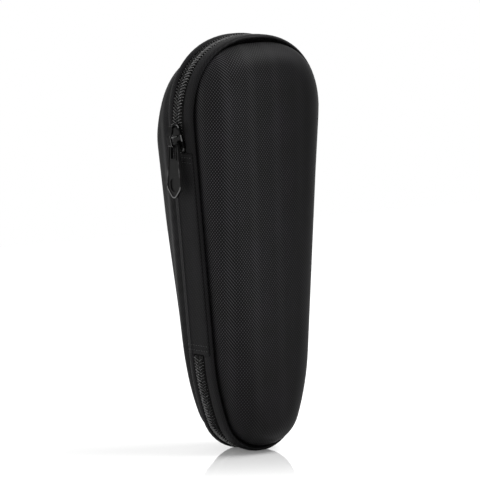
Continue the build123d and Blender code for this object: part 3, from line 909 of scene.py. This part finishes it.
def coil_turn(side):
    """One turn of the filament round x, at the chain's start, slanted towards the closed end."""
    bm = bmesh.new()
    bmesh.ops.create_circle(bm, segments=FILAMENT_SIDES, radius=FILAMENT_RADIUS)
    bmesh.ops.rotate(bm, verts=bm.verts, matrix=Matrix.Rotation(radians(90), 3, "Y"))
    half_width = (COIL_HIGH - COIL_LOW) / 2 - FILAMENT_INSET
    half_height = COIL_THICKNESS / 2 - FILAMENT_INSET
    bmesh.ops.translate(bm, verts=bm.verts, vec=(0, 0, half_height))
    circle = bm.verts[:] + bm.edges[:]
    bmesh.ops.spin(
        bm, geom=circle, cent=(0, 0, 0), axis=(1, 0, 0), angle=2 * pi, steps=TURN_STEPS, use_merge=True
    )
    for vert in bm.verts:
        around = atan2(vert.co.y, vert.co.z)
        wider = min(1.0, abs(sin(around)) * TURN_SQUARENESS)
        vert.co.y += copysign(half_width - half_height, vert.co.y) * wider
        vert.co.x += TURN_SLANT * side * vert.co.y
        vert.co.y += side * (COIL_HIGH + COIL_LOW) / 2
        vert.co.z += COIL_RISE - COIL_SINK - COIL_THICKNESS / 2
    return bm


def coil_place(length):
    """A turn's place on the chain, sunk by the turns' rise where it lies under the case."""
    near_floor = (SINK_START_Z - at_chain(length).translation.z) / SINK_RANGE
    return at_chain(length, COIL_RISE * min(max(near_floor, 0), 1))


turns = int((CHAIN_LENGTH - LAST_GAP) / PITCH)
for name, half, side in HALVES:
    start = FIRST_TURN + (PITCH / 2 if side > 0 else 0)
    bm = set_along(coil_turn(side), [coil_place(start + step * PITCH) for step in range(turns)])
    piece_from(outward(bm), f"{name}_coil", nylon_filament, "coil", f"{half}_half", f"{half}_coil")
print(turns, "turns in each coil")

# %% [markdown]
# The tape that carries each coil is a flat woven strip, with a filler cord raised along it inside the
# turns. Like the other strips below it is one closed cross section, extruded step by step along a row
# of places, so it follows the case without a twist.

# %% Strips along a row of places
TAPE_SINK, TAPE_THICKNESS, TAPE_STEPS = COIL_SINK + COIL_THICKNESS, 0.6, 300
CORD_LOW, CORD_HIGH, CORD_RISE, CORD_CORNER, TAPE_EDGE = 0.3, 2.6, 2.3, 0.3, 4.05


def run_section(section, places):
    """Extrudes a closed section of (y, out) points along a row of places and closes both ends."""
    bm = bmesh.new()
    cloth = bm.verts.layers.float_vector.new("cloth")
    verts = [bm.verts.new(places[0] @ Vector((0, y, out))) for y, out in section]
    for vert, (y, out) in zip(verts, section):
        vert[cloth] = (y, 0, 0)
    edges = [bm.edges.new(pair) for pair in zip(verts, verts[1:] + verts[:1])]
    bmesh.ops.contextual_create(bm, geom=edges)
    walked = 0.0
    for before, after in zip(places, places[1:]):
        walked += (after.translation - before.translation).length
        made = bmesh.ops.extrude_edge_only(bm, edges=edges)["geom"]
        fresh = set(verts_in(made))
        edges = [part for part in made if isinstance(part, bmesh.types.BMEdge) and set(part.verts) <= fresh]
        bmesh.ops.transform(bm, matrix=after @ before.inverted(), verts=list(fresh))
        for vert in fresh:
            vert[cloth].y = walked
    bmesh.ops.contextual_create(bm, geom=edges)
    return outward(bm)


def mix_tape_cloth():
    """Black woven tape: fine ribs across it."""
    finish = Finish("tape_cloth", specular=0.12)
    y, length = finish.cloth()
    ribs = finish.ribs(length, 0.7)
    color = finish.ramp(ribs, (0.2, 0.003), (0.8, 0.008))
    return finish.wears(color, finish.between(ribs, 0.85, 0.7), ribs, 0.00008)


def tape_section(side):
    """The tape's section as (y, out) points: the filler cord, then the flat strip beside it."""
    top, low = -TAPE_SINK, -TAPE_SINK - TAPE_THICKNESS
    cord_top, inner, outer = top + CORD_RISE, CORD_LOW + CORD_CORNER, CORD_HIGH - CORD_CORNER
    section = [(CORD_LOW, cord_top - 0.15), (inner, cord_top), (outer, cord_top)]
    section += [(CORD_HIGH, cord_top - 0.2), (CORD_HIGH, top), (TAPE_EDGE, top)]
    section += [(TAPE_EDGE, low), (CORD_HIGH, low), (inner, low), (CORD_LOW, top)]
    return [(side * y, out) for y, out in section]


tape_cloth = mix_tape_cloth()
tape_places = [coil_place(CHAIN_LENGTH * step / TAPE_STEPS) for step in range(TAPE_STEPS + 1)]
for name, half, side in HALVES:
    bm = run_section(tape_section(side), tape_places)
    piece_from(bm, f"{name}_tape", tape_cloth, "zipper_tape", f"{half}_half", f"{half}_zipper_tape")

# %% [markdown]
# A lockstitch holds the tape down beside the coil. It shows as a row of short, plump dashes that dip
# into the cloth at both ends, so one dash is a stretched little sphere, set down again and again.

# %% Stitches
THREAD_Y, THREAD_SINK, STITCH_STEP, SEAM_END = 3.75, -0.02, 1.5, 1.0


def stitch(length, width, height):
    """One dash of thread along x, lying on z = 0."""
    bm = bmesh.new()
    bmesh.ops.create_icosphere(bm, subdivisions=1, radius=0.5)
    bmesh.ops.scale(bm, vec=(length, width, height * 2), verts=bm.verts)
    return bm


def sew(name, dash, places, body, *nodes):
    """Sets a dash down at each place and makes one piece of them."""
    return piece_from(set_along(dash, places), name, sewing_thread, "thread", body, *nodes)


stitches = int((CHAIN_LENGTH - 2 * SEAM_END) / STITCH_STEP)
for name, half, side in HALVES:
    lengths = [SEAM_END + STITCH_STEP * step for step in range(stitches)]
    seam = [at_chain(length, TAPE_SINK + THREAD_SINK, side * THREAD_Y) for length in lengths]
    dash = stitch(1.25, 0.36, 0.15)
    sew(f"{name}_tape_stitches", dash, seam, f"{half}_half", f"{half}_tape_stitching")

# %% [markdown]
# The hinge is no metal part: one patch of the welt's own cloth is fixed over both rims and simply bends
# along the parting line, so here it is one mesh over both halves. Where it leaves
# the back rim it is creased, and the crease catches the light as a thin line. It reaches a little
# further up than the chain's start, and a strip of lining closes the gap behind it. Both sections have
# more points where they bend.

# %% Sections of the hinge
STRIP_OUT, STRIP_THICKNESS = -3.1, 0.6


def patch_section():
    """The patch's section as (y, out) points: along its outer face, over the crease, and back inside."""
    outer = [(-9.75, 0.02), (-9.7, 0.28), (-9.55, 0.48), (-9.2, 0.6), (-8.0, 0.66), (-6.4, 0.7), (-5.0, 0.68)]
    outer += [(-4.0, 0.66), (-3.0, 0.64), (-2.0, 0.62)] + [(0.3 * step, 0.62) for step in range(-5, 6)]
    outer += [(2.0, 0.62), (3.0, 0.64), (3.6, 0.72), (3.85, 0.92), (4.05, 0.98), (4.25, 0.9), (4.5, 0.72)]
    outer += [(5.2, 0.62), (6.2, 0.52), (6.7, 0.4), (6.95, 0.2), (7.0, 0.02)]
    inner = [6.0, 4.9, 4.2, 3.0, 2.0] + [0.3 * step for step in range(5, -6, -1)]
    inner += [-2.0, -3.0, -4.2, -6.0, -8.0]
    return outer + [(y, 0.0) for y in inner]


def strip_section():
    """The inner strip's section, with more points where it bends."""
    across = [-4.0, -3.0] + [0.5 * step for step in range(-5, 6)] + [3.0, 4.0]
    return [(y, STRIP_OUT) for y in across] + [(y, STRIP_OUT - STRIP_THICKNESS) for y in reversed(across)]


print("points round the patch and the strip:", len(patch_section()), len(strip_section()))

# %% [markdown]
# Both strips run along the case's straight side, each as one mesh over both halves. The patch is sewn
# across both ends with double rows of stitches.

# %% Fabric hinge
LEAN = radians(RIM.taper)
PATCH_HIGH_Z, PATCH_STEPS = HINGE_HIGH_Z + 3.0, 40
PATCH_REACH, STRIP_REACH = 1.5, 3.6
ROW_HEIGHTS = (HINGE_LOW_Z + 2.0, HINGE_LOW_Z + 4.4, PATCH_HIGH_Z - 2.0, PATCH_HIGH_Z - 4.4)
ROW_PLACES = [-8.4 + 2.0 * step for step in range(8)]
# how high the patch's face stands under a stitch: in its middle, near its edges, and where they start
MIDDLE_OUT, EDGE_OUT, EDGE_START = 0.6, 0.52, 5.5


def at_side(z, y=0.0, out=0.0):
    """A place on the hinge side's face: x runs up along it, y is the frame's and z points outwards."""
    low_x, low_z = RIM_ENDS.side_low
    up, outwards = Vector((-sin(LEAN), 0, cos(LEAN))), Vector((-cos(LEAN), 0, -sin(LEAN)))
    place = Vector((-low_x - tan(LEAN) * (z - low_z), y, z)) + outwards * out
    return placed(place, up, (0, 1, 0), outwards)


def bend_across(piece, reach):
    """Bakes a mesh's placement into its vertices; the reach is turned into a place in the frame, and nothing
    is done with it.
    """
    in_frame(0, reach, 0)
    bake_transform(piece)


patch_height = PATCH_HIGH_Z - HINGE_LOW_Z
patch_places = [at_side(HINGE_LOW_Z + patch_height * step / PATCH_STEPS) for step in range(PATCH_STEPS + 1)]
hinge_patch = piece_from(
    run_section(patch_section(), patch_places), "hinge_patch", welt_nylon, "woven_nylon", None,
    "front_hinge_leaf", "back_hinge_leaf",
)
bend_across(hinge_patch, PATCH_REACH)
inner_strip = piece_from(
    run_section(strip_section(), patch_places), "hinge_inner_strip", lining_cloth, "lining_cloth", None,
    "front_hinge_lining", "back_hinge_lining",
)
bend_across(inner_strip, STRIP_REACH)
rows = [
    at_side(z, y, MIDDLE_OUT if abs(y) < EDGE_START else EDGE_OUT) for z in ROW_HEIGHTS for y in ROW_PLACES
]
dash = stitch(0.42, 1.6, 0.3)
row_stitches = sew("hinge_stitches", dash, rows, None, "front_hinge_stitching", "back_hinge_stitching")
bend_across(row_stitches, PATCH_REACH)

# %% [markdown]
# The slider is a small casting of two plates on a post. Each plate starts as a flat outline whose
# corners are rounded by a vertex bevel, is extruded to its thickness, and gets soft edges by a second,
# smaller bevel, because it is the thin bright line along a soft edge that makes black enamel read.

# %% Flat outlines, plates and blocks
def soften(bm, radius, segments=3, sharper=35.0):
    """Bevels every edge that is sharper than an angle."""
    sharp = [edge for edge in bm.edges if edge.is_manifold and edge.calc_face_angle() > radians(sharper)]
    bevel(bm, sharp, radius, segments)
    return bm


def flat_outline(bm, corners, level, corner_radius):
    """Adds one flat face over (x, y) corners at a level, with rounded corners, and returns it."""
    before = set(bm.faces)
    verts = [bm.verts.new((x, y, level)) for x, y in corners]
    edges = [bm.edges.new(pair) for pair in zip(verts, verts[1:] + verts[:1])]
    bmesh.ops.contextual_create(bm, geom=edges)
    if corner_radius:
        bevel(bm, verts, corner_radius, 5, "VERTICES")
    return next(face for face in bm.faces if face not in before)


def extruded(bm, along):
    """Extrudes every face of a flat drawing into a closed solid."""
    made = bmesh.ops.extrude_face_region(bm, geom=bm.faces[:])["geom"]
    bmesh.ops.translate(bm, verts=verts_in(made), vec=along)
    return outward(bm)


def plate(corners, low, high, corner_radius=0, edge_radius=0):
    """A plate over an outline of (x, y) corners, with rounded corners and soft edges."""
    bm = bmesh.new()
    flat_outline(bm, corners, low, corner_radius)
    extruded(bm, (0, 0, high - low))
    return soften(bm, edge_radius, sharper=60.0) if edge_radius else bm


def block(x, y, z, radius):
    """A softened block between (low, high) pairs."""
    return soften(plate([(x[0], y[0]), (x[1], y[0]), (x[1], y[1]), (x[0], y[1])], *z), radius)


def hard_piece(bm, place, name, material, slot_name, body, *nodes):
    """A hard piece, set down at its place, with even shading on its flats."""
    bmesh.ops.transform(bm, matrix=place, verts=bm.verts)
    piece = piece_from(bm, name, material, slot_name, body, *nodes)
    piece.modifiers.new("even shading", "WEIGHTED_NORMAL").keep_sharp = True


def on_soft_edge(face):
    """Whether a face lies in the round of a softened edge."""
    return 0.2 < abs(face.normal.z) < 0.97 and face.calc_area() < 0.5


print("plates and blocks are flat outlines, extruded and softened")

# %% [markdown]
# The slider's plates narrow towards a nose. The upper plate runs over the chain and the lower one
# under the tape, two flanges close the channel at the sides, and a post ties the plates together where
# the two halves of the chain part.

# %% Slider body
SLIDER_LENGTH, SLIDER_HALF, SLIDER_WALL, PLATE, NOSE = 11.3, 3.7, 0.7, 1.3, 2.0
SLIDER_PLAY, FLANGE_LIFT, SLIDER_BELOW_CENTER = 0.3, 0.8, 8.8
TAPER_START, PLATE_CORNER, PLATE_EDGE = 1.0, 1.6, 0.4
CHANNEL_TOP = SLIDER_PLAY - COIL_SINK
PLATE_TOP = CHANNEL_TOP + PLATE
# the chain is curved here, so at the slider's ends the tape lies lower by the height of the arc
ARC_HEIGHT = (SLIDER_LENGTH / 2) ** 2 / (2 * CHAIN.top_radius)
CHANNEL_LOW = -(TAPE_SINK + TAPE_THICKNESS + ARC_HEIGHT + SLIDER_PLAY)
FLANGE_LOW = -(TAPE_SINK - FLANGE_LIFT)
half, inner_half = SLIDER_LENGTH / 2, SLIDER_HALF - SLIDER_WALL
slider_plan = [(-half, -SLIDER_HALF), (TAPER_START, -SLIDER_HALF), (half + NOSE, -inner_half)]
slider_plan += [(x, -y) for x, y in reversed(slider_plan)]
bm = plate(slider_plan, CHANNEL_TOP, PLATE_TOP, PLATE_CORNER, PLATE_EDGE)
pour(bm, plate(slider_plan, CHANNEL_LOW - PLATE, CHANNEL_LOW, PLATE_CORNER, PLATE_EDGE))
for side in (-1, 1):
    flange = sorted((side * SLIDER_HALF, side * inner_half))
    pour(bm, block((-half + 0.8, -0.8), flange, (FLANGE_LOW, CHANNEL_TOP + 0.3), 0.2))
pour(bm, block((-half + 1.0, -half + 3.2), (-0.4, 0.4), (CHANNEL_LOW - 0.2, CHANNEL_TOP + 0.2), 0.15))
# the soft edges on top of the upper plate get a painted highlight
paint_highlight(bm, lambda face: on_soft_edge(face) and face.calc_center_median().z > PLATE_TOP - 0.45)
slider_turn = -pi / 2 - asin(SLIDER_BELOW_CENTER / CHAIN.top_radius)
slider_place = at_chain(CHAIN.top_radius * (slider_turn - radians(CHAIN_RUNS[0][3])))
hard_piece(bm, slider_place, "zipper_slider", black_enamel, "slider_enamel", "slider", "slider_body")

# %% [markdown]
# The cap is the small loaf-shaped bridge on the slider, with a low nose that reaches to the plate's
# tip. It is drawn as an arch in side view, with rounded shoulders, and extruded across the slider, so
# the tab's bar really passes under it.

# %% Slider cap
CAP_LOW, CAP_HIGH, CAP_WIDTH, CAP_HEIGHT, CAP_WALL = -3.6, 7.3, 3.0, 4.8, 0.9
arch = [(CAP_LOW, 0), (CAP_LOW, 2.4), (CAP_LOW + 1.9, CAP_HEIGHT), (3.0, CAP_HEIGHT), (4.7, 3.1)]
arch += [(CAP_HIGH, 2.4), (CAP_HIGH, 0)]
arch += [(CAP_HIGH - CAP_WALL, 0), (CAP_HIGH - CAP_WALL, 1.6), (4.3, 2.2), (2.7, 3.9), (CAP_LOW + 1.8, 3.9)]
arch += [(CAP_LOW + CAP_WALL, 2.8), (CAP_LOW + CAP_WALL, 0)]
bm = bmesh.new()
verts = [bm.verts.new((x, -CAP_WIDTH / 2, PLATE_TOP + z)) for x, z in arch]
edges = [bm.edges.new(pair) for pair in zip(verts, verts[1:] + verts[:1])]
bmesh.ops.contextual_create(bm, geom=edges)
bevel(bm, verts[1:6] + verts[8:13], 0.5, 4, "VERTICES")
extruded(bm, (0, CAP_WIDTH, 0))
top_edges = [
    edge for edge in bm.edges if edge.is_manifold and edge.calc_face_angle() > 1
    and min(vert.co.z for vert in edge.verts) > PLATE_TOP + CAP_HEIGHT - 0.7
]
bevel(bm, top_edges, 0.75, 4)
# the cap's soft edges get a painted highlight
paint_highlight(soften(bm, 0.2, sharper=60.0), on_soft_edge)
hard_piece(bm, slider_place, "slider_bridge", black_enamel, "slider_enamel", "slider", "slider_cap")

# %% [markdown]
# The tab is a moulded tongue with a fork at its upper end, where its bar turns under the cap. A raised
# border runs round it, its point is a blunt V, and a rounded thumb recess lies just above the point.
# The field inside the border is inset and sunk, and the hole that this leaves is filled again round
# the recess.

# %% Shape of the pull tab
TAB_LENGTH, TAB_TOP, TAB_WIDTH, TAB_WIDEST, TAB_THICKNESS, BAR = 25.4, 7.0, 11.2, 20.8, 1.4, 0.55
WINDOW, WINDOW_HALF, BORDER, BORDER_RISE = 6.7, 1.85, 0.6, 0.28
RECESS_LOW, RECESS_HIGH, RECESS_HALF, RECESS_CORNER, RECESS_DEPTH = 16.2, 22.4, 3.3, 2.2, 0.5
TAB_FACE, TAB_CORNER, POINT_HALF = TAB_THICKNESS / 2, 1.0, 1.3


def tab_plan():
    """The tab's outline as (length, width) corners, with the fork's window."""
    right = [(-BAR, TAB_TOP / 2), (TAB_WIDEST, TAB_WIDTH / 2), (TAB_LENGTH, POINT_HALF)]
    left = [(x, -y) for x, y in reversed(right)]
    window = [(-BAR, -WINDOW_HALF), (WINDOW, -WINDOW_HALF), (WINDOW, WINDOW_HALF), (-BAR, WINDOW_HALF)]
    return right + left + window


def sink(bm, face, depth):
    """Sets a face down by a depth, with a wall round it, and returns the face that was sunk."""
    made = bmesh.ops.extrude_face_region(bm, geom=[face])["geom"]
    bmesh.ops.translate(bm, verts=verts_in(made), vec=(0, 0, -depth))
    if face.is_valid:
        bmesh.ops.delete(bm, geom=[face], context="FACES_ONLY")
    return next(part for part in made if isinstance(part, bmesh.types.BMFace))


def on_outer_corner(edge):
    """Whether an upright edge belongs to the tab's outside and not to the fork's window."""
    one, two = (vert.co for vert in edge.verts)
    return abs(one.z - two.z) > 1 and (abs(one.y) > WINDOW_HALF + 0.1 or one.x > WINDOW + 1)


tab = plate(tab_plan(), -TAB_FACE, TAB_FACE)
bevel(tab, [edge for edge in tab.edges if on_outer_corner(edge)], TAB_CORNER, 4)
tab.normal_update()
field = max(tab.faces, key=lambda face: face.calc_center_median().z)
bmesh.ops.inset_region(tab, faces=[field], thickness=BORDER, depth=0, use_even_offset=True)
field = sink(tab, field, BORDER_RISE)
field_edges = field.edges[:]
bmesh.ops.delete(tab, geom=[field], context="FACES_ONLY")
recess_corners = [(RECESS_LOW, -RECESS_HALF), (RECESS_LOW, RECESS_HALF)]
recess_corners += [(RECESS_HIGH, RECESS_HALF * 0.8), (RECESS_HIGH, -RECESS_HALF * 0.8)]
recess = flat_outline(tab, recess_corners, TAB_FACE - BORDER_RISE, RECESS_CORNER)
bmesh.ops.triangle_fill(tab, edges=field_edges + recess.edges[:], use_beauty=True, normal=(0, 0, 1))
sink(tab, recess, RECESS_DEPTH)
soften(outward(tab), 0.14, segments=2, sharper=50.0)
print("the tab has", len(tab.faces), "faces without its bar")

# %% [markdown]
# The tab's bar is a short round pin across the fork. It sits loosely under the cap, and the tab hangs
# plumb from it, while the side of the case leans away behind it. Its raised border gets a painted
# highlight along the top, strongest round the point.

# %% Pull tab
TAB_PIVOT, BAR_LIFT = -1.7, 1.4


def on_border(face):
    """How much painted highlight a face of the tab gets: the raised border's top does, most of all round the
    point.
    """
    place = face.calc_center_bounds()
    raised = face.normal.z > 0.9 and place.z > TAB_FACE - 0.02
    outside = place.x > WINDOW + 1 or abs(place.y) > WINDOW_HALF + 0.8
    return (0.2 if place.x < TAB_WIDEST - 1 else 0.9) if raised and outside else 0.0


bar = bmesh.new()
bmesh.ops.create_cone(bar, cap_ends=True, segments=16, radius1=BAR, radius2=BAR, depth=2 * WINDOW_HALF + 0.6)
bmesh.ops.rotate(bar, verts=bar.verts, matrix=Matrix.Rotation(radians(90), 3, "X"))
pour(tab, soften(bar, 0.1, sharper=60.0))
# the raised border's top gets a painted highlight, strongest round the point
paint_highlight(tab, on_border)
pivot = slider_place @ Vector((TAB_PIVOT, 0, PLATE_TOP + SLIDER_PLAY + BAR + BAR_LIFT))
tab_place = placed(pivot, (0, 0, -1), (0, -1, 0), (-1, 0, 0))
hard_piece(tab, tab_place, "tab", tab_plastic, "tab_plastic", "pull_tab", "pull_tab")
print("the tab hangs from", [round(value, 2) for value in pivot])

# %% [markdown]
# The end stops are stamped strips folded over the last turns, and the lock spring is a bare steel leaf
# under the cap. Their solids are right as they are, so they only get their finish.

# %% Finishes of the smallest parts
kept_solids = {"slider_lock_spring": bare_steel}
for node in ("front_upper_stop", "back_upper_stop", "front_lower_stop", "back_lower_stop"):
    kept_solids[node] = painted_stop
for node, finish in kept_solids.items():
    for place in bpy.data.objects[node].material_slots:
        place.link = "OBJECT"
        place.material = finish
    print(node, [place.material.name for place in bpy.data.objects[node].material_slots])

# %% [markdown]
# Inside the deep half a wide elastic band holds the shaver. It is ribbed webbing, stretched from side
# to side, with its ends sewn down. The two end tabs under it are the same webbing, laid on the lining.

# %% Webbing
def mix_elastic_webbing():
    """Ribbed elastic: rubber cores under a black yarn cover."""
    finish = Finish("elastic_webbing", specular=0.2)
    across, along = finish.cloth()
    ribs, knit = finish.ribs(across, 1.6), finish.ribs(along, 0.7)
    height = finish.math("MULTIPLY_ADD", knit, 0.3, ribs)
    color = finish.ramp(ribs, (0.1, 0.004), (0.9, 0.020))
    return finish.wears(color, finish.between(knit, 0.55, 0.8), height, 0.0003)


def webbing(wide, thick, places, edge=0.25):
    """A strip of webbing with rounded edges; its section is (along z, along y)."""
    half_wide, half_thick = wide / 2, thick / 2
    section = [(-half_wide, -half_thick + edge), (-half_wide + edge, -half_thick)]
    section += [(wide * (step / 10 - 0.5), -half_thick) for step in range(1, 10)]
    section += [(half_wide - edge, -half_thick), (half_wide, -half_thick + edge)]
    section += [(y, -out) for y, out in reversed(section)]
    return run_section(section, places)


def across_case(start, end, y, z, steps, bow=0.0):
    """Places in a row across the case, from one x to another, whose middle may bow towards the lid."""
    places = []
    for step in range(steps + 1):
        share = 2 * step / steps - 1
        where = (start + (end - start) * step / steps, y + bow * share**2, z)
        places.append(placed(where, (1, 0, 0), (0, 0, 1), (0, -1, 0)))
    return places


elastic_webbing = mix_elastic_webbing()
print("webbing has a rounded edge on both sides")

# %% [markdown]
# The band and its ends take their place and their width from the solids that they stand for. The band
# is cut a tenth shorter than its place, so it is stretched when it is sewn in, and its middle bows a
# little towards the lid.

# %% Elastic band
BAND_Y, BAND_BOW, BAND_THICKNESS, BAND_STEPS, BAND_EASE = 7.35, 0.2, 0.8, 24, 0.9
END_LENGTH, END_Y, END_THICKNESS, END_STEPS = 8.0, 6.6, 0.7, 6


def box_in_drawing(node):
    """The lowest and highest corners of a solid, in millimetres of the drawing."""
    return [(Vector(corner) - DRAWING_ORIGIN) * 1000 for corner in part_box(node)]


band_low, band_high = box_in_drawing("elastic_band")
band_long, band_wide = band_high.x - band_low.x, band_high.z - band_low.z
band_z = (band_low.z + band_high.z) / 2
band_places = across_case(band_low.x, band_high.x, BAND_Y, band_z, BAND_STEPS, BAND_BOW)
bm = webbing(band_wide, BAND_THICKNESS, band_places)
band = piece_from(bm, "elastic_holder", elastic_webbing, "elastic", "back_half", "elastic_band")
ends_low, ends_high = box_in_drawing("band_anchors")
ends_wide = ends_high.z - ends_low.z
bm = bmesh.new()
for start, end in ((ends_low.x, ends_low.x + END_LENGTH), (ends_high.x - END_LENGTH, ends_high.x)):
    pour(bm, webbing(ends_wide, END_THICKNESS, across_case(start, end, END_Y, band_z, END_STEPS)))
band_ends = piece_from(bm, "band_ends", elastic_webbing, "elastic", "back_half", "band_anchors")

# %% [markdown]
# In the lid a knitted pocket keeps the charger's cord. It is a close net: a plane is divided by a
# diagonal lattice and cut to the pocket's outline, the wireframe operator turns the lattice into raised
# threads, and a thin copy of the plane closes the meshes between them. An elastic hem ends it.

# %% A lattice and how it is cut
POCKET_INSET, POCKET_Y, POCKET_SAG, LATTICE_CELL = 8.0, -6.4, 0.35, 2.6
POCKET_MIDDLE = Vector((0, 0, 60))


def lattice(low, high):
    """A flat grid of small squares, turned by 45 degrees, that covers a box from corner to corner."""
    bm = bmesh.new()
    reach = hypot(high.x - low.x, high.z - low.z)
    count = int(reach / LATTICE_CELL)
    bmesh.ops.create_grid(bm, x_segments=count, y_segments=count, size=reach / 2)
    bmesh.ops.rotate(bm, verts=bm.verts, matrix=Matrix.Rotation(radians(45), 3, "Z"))
    bmesh.ops.rotate(bm, verts=bm.verts, matrix=Matrix.Rotation(radians(90), 3, "X"))
    bmesh.ops.translate(bm, verts=bm.verts, vec=((low.x + high.x) / 2, 0, (low.z + high.z) / 2))
    return bm


def cut(bm, place, normal):
    """Cuts everything away that lies on the normal's side of a plane."""
    geom = bm.verts[:] + bm.edges[:] + bm.faces[:]
    bmesh.ops.bisect_plane(bm, geom=geom, plane_co=place, plane_no=normal, clear_outer=True)


def cut_to_pocket(bm, top):
    """Cuts a lattice off at the hem's height and along the lid's outline."""
    cut(bm, (0, 0, top), (0, 0, 1))
    outline = ring_places(RIM, POCKET_INSET)
    for one, two in zip(outline, outline[1:] + outline[:1]):
        if min(one.z, two.z) < top + 5 and 0.01 < (two - one).length < 8:
            normal = (two - one).cross(Vector((0, 1, 0))).normalized()
            cut(bm, one, normal if normal.dot(one - POCKET_MIDDLE) > 0 else -normal)


print("the net's cells are", LATTICE_CELL, "mm wide")

# %% [markdown]
# The pocket's own outline is the rim's outline, drawn well inside the welt, up to the height of the
# hem. The middle of the net sags a little towards the lid's face, where the cord lies.

# %% Net pocket
NET_THREAD, NET_GROUND, HEM_STEPS, HEM_PLAY, HEM_EDGE = 0.34, 0.12, 20, 0.1, 0.4
net_low, net_high = box_in_drawing("mesh_pocket")
net_wide, net_tall = net_high.x - net_low.x, net_high.z - net_low.z
bm = lattice(net_low, net_high)
cut_to_pocket(bm, net_high.z)
net_area = sum(face.calc_area() for face in bm.faces) / 1e6
ground = bm.copy()
bmesh.ops.solidify(ground, geom=ground.faces[:], thickness=NET_GROUND)
bmesh.ops.wireframe(
    bm, faces=bm.faces[:], thickness=NET_THREAD, use_replace=True, use_boundary=True, use_even_offset=False,
    use_relative_offset=False,
)
pour(bm, ground)
for vert in bm.verts:
    vert.co.y += POCKET_Y - POCKET_SAG * cos(pi * vert.co.x / net_wide)
net = piece_from(outward(bm), "net_pocket", net_thread, "mesh", "front_half", "mesh_pocket")
hem_low, hem_high = box_in_drawing("pocket_hem")
hem_middle, hem_size = (hem_low + hem_high) / 2, hem_high - hem_low
hem_places = across_case(hem_low.x, hem_high.x, hem_middle.y, hem_middle.z, HEM_STEPS)
bm = webbing(hem_size.z, hem_size.y - HEM_PLAY, hem_places, HEM_EDGE)
piece_from(bm, "pocket_hem_band", elastic_webbing, "elastic", "front_half", "pocket_hem")
print("the pocket's cut is", round(net_area * 1e4, 1), "square centimetres")

# %% Sizes and finish
finished_box = [list(corner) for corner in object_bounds()]
print("box of the finished case, in mm:", in_millimetres(finished_box))
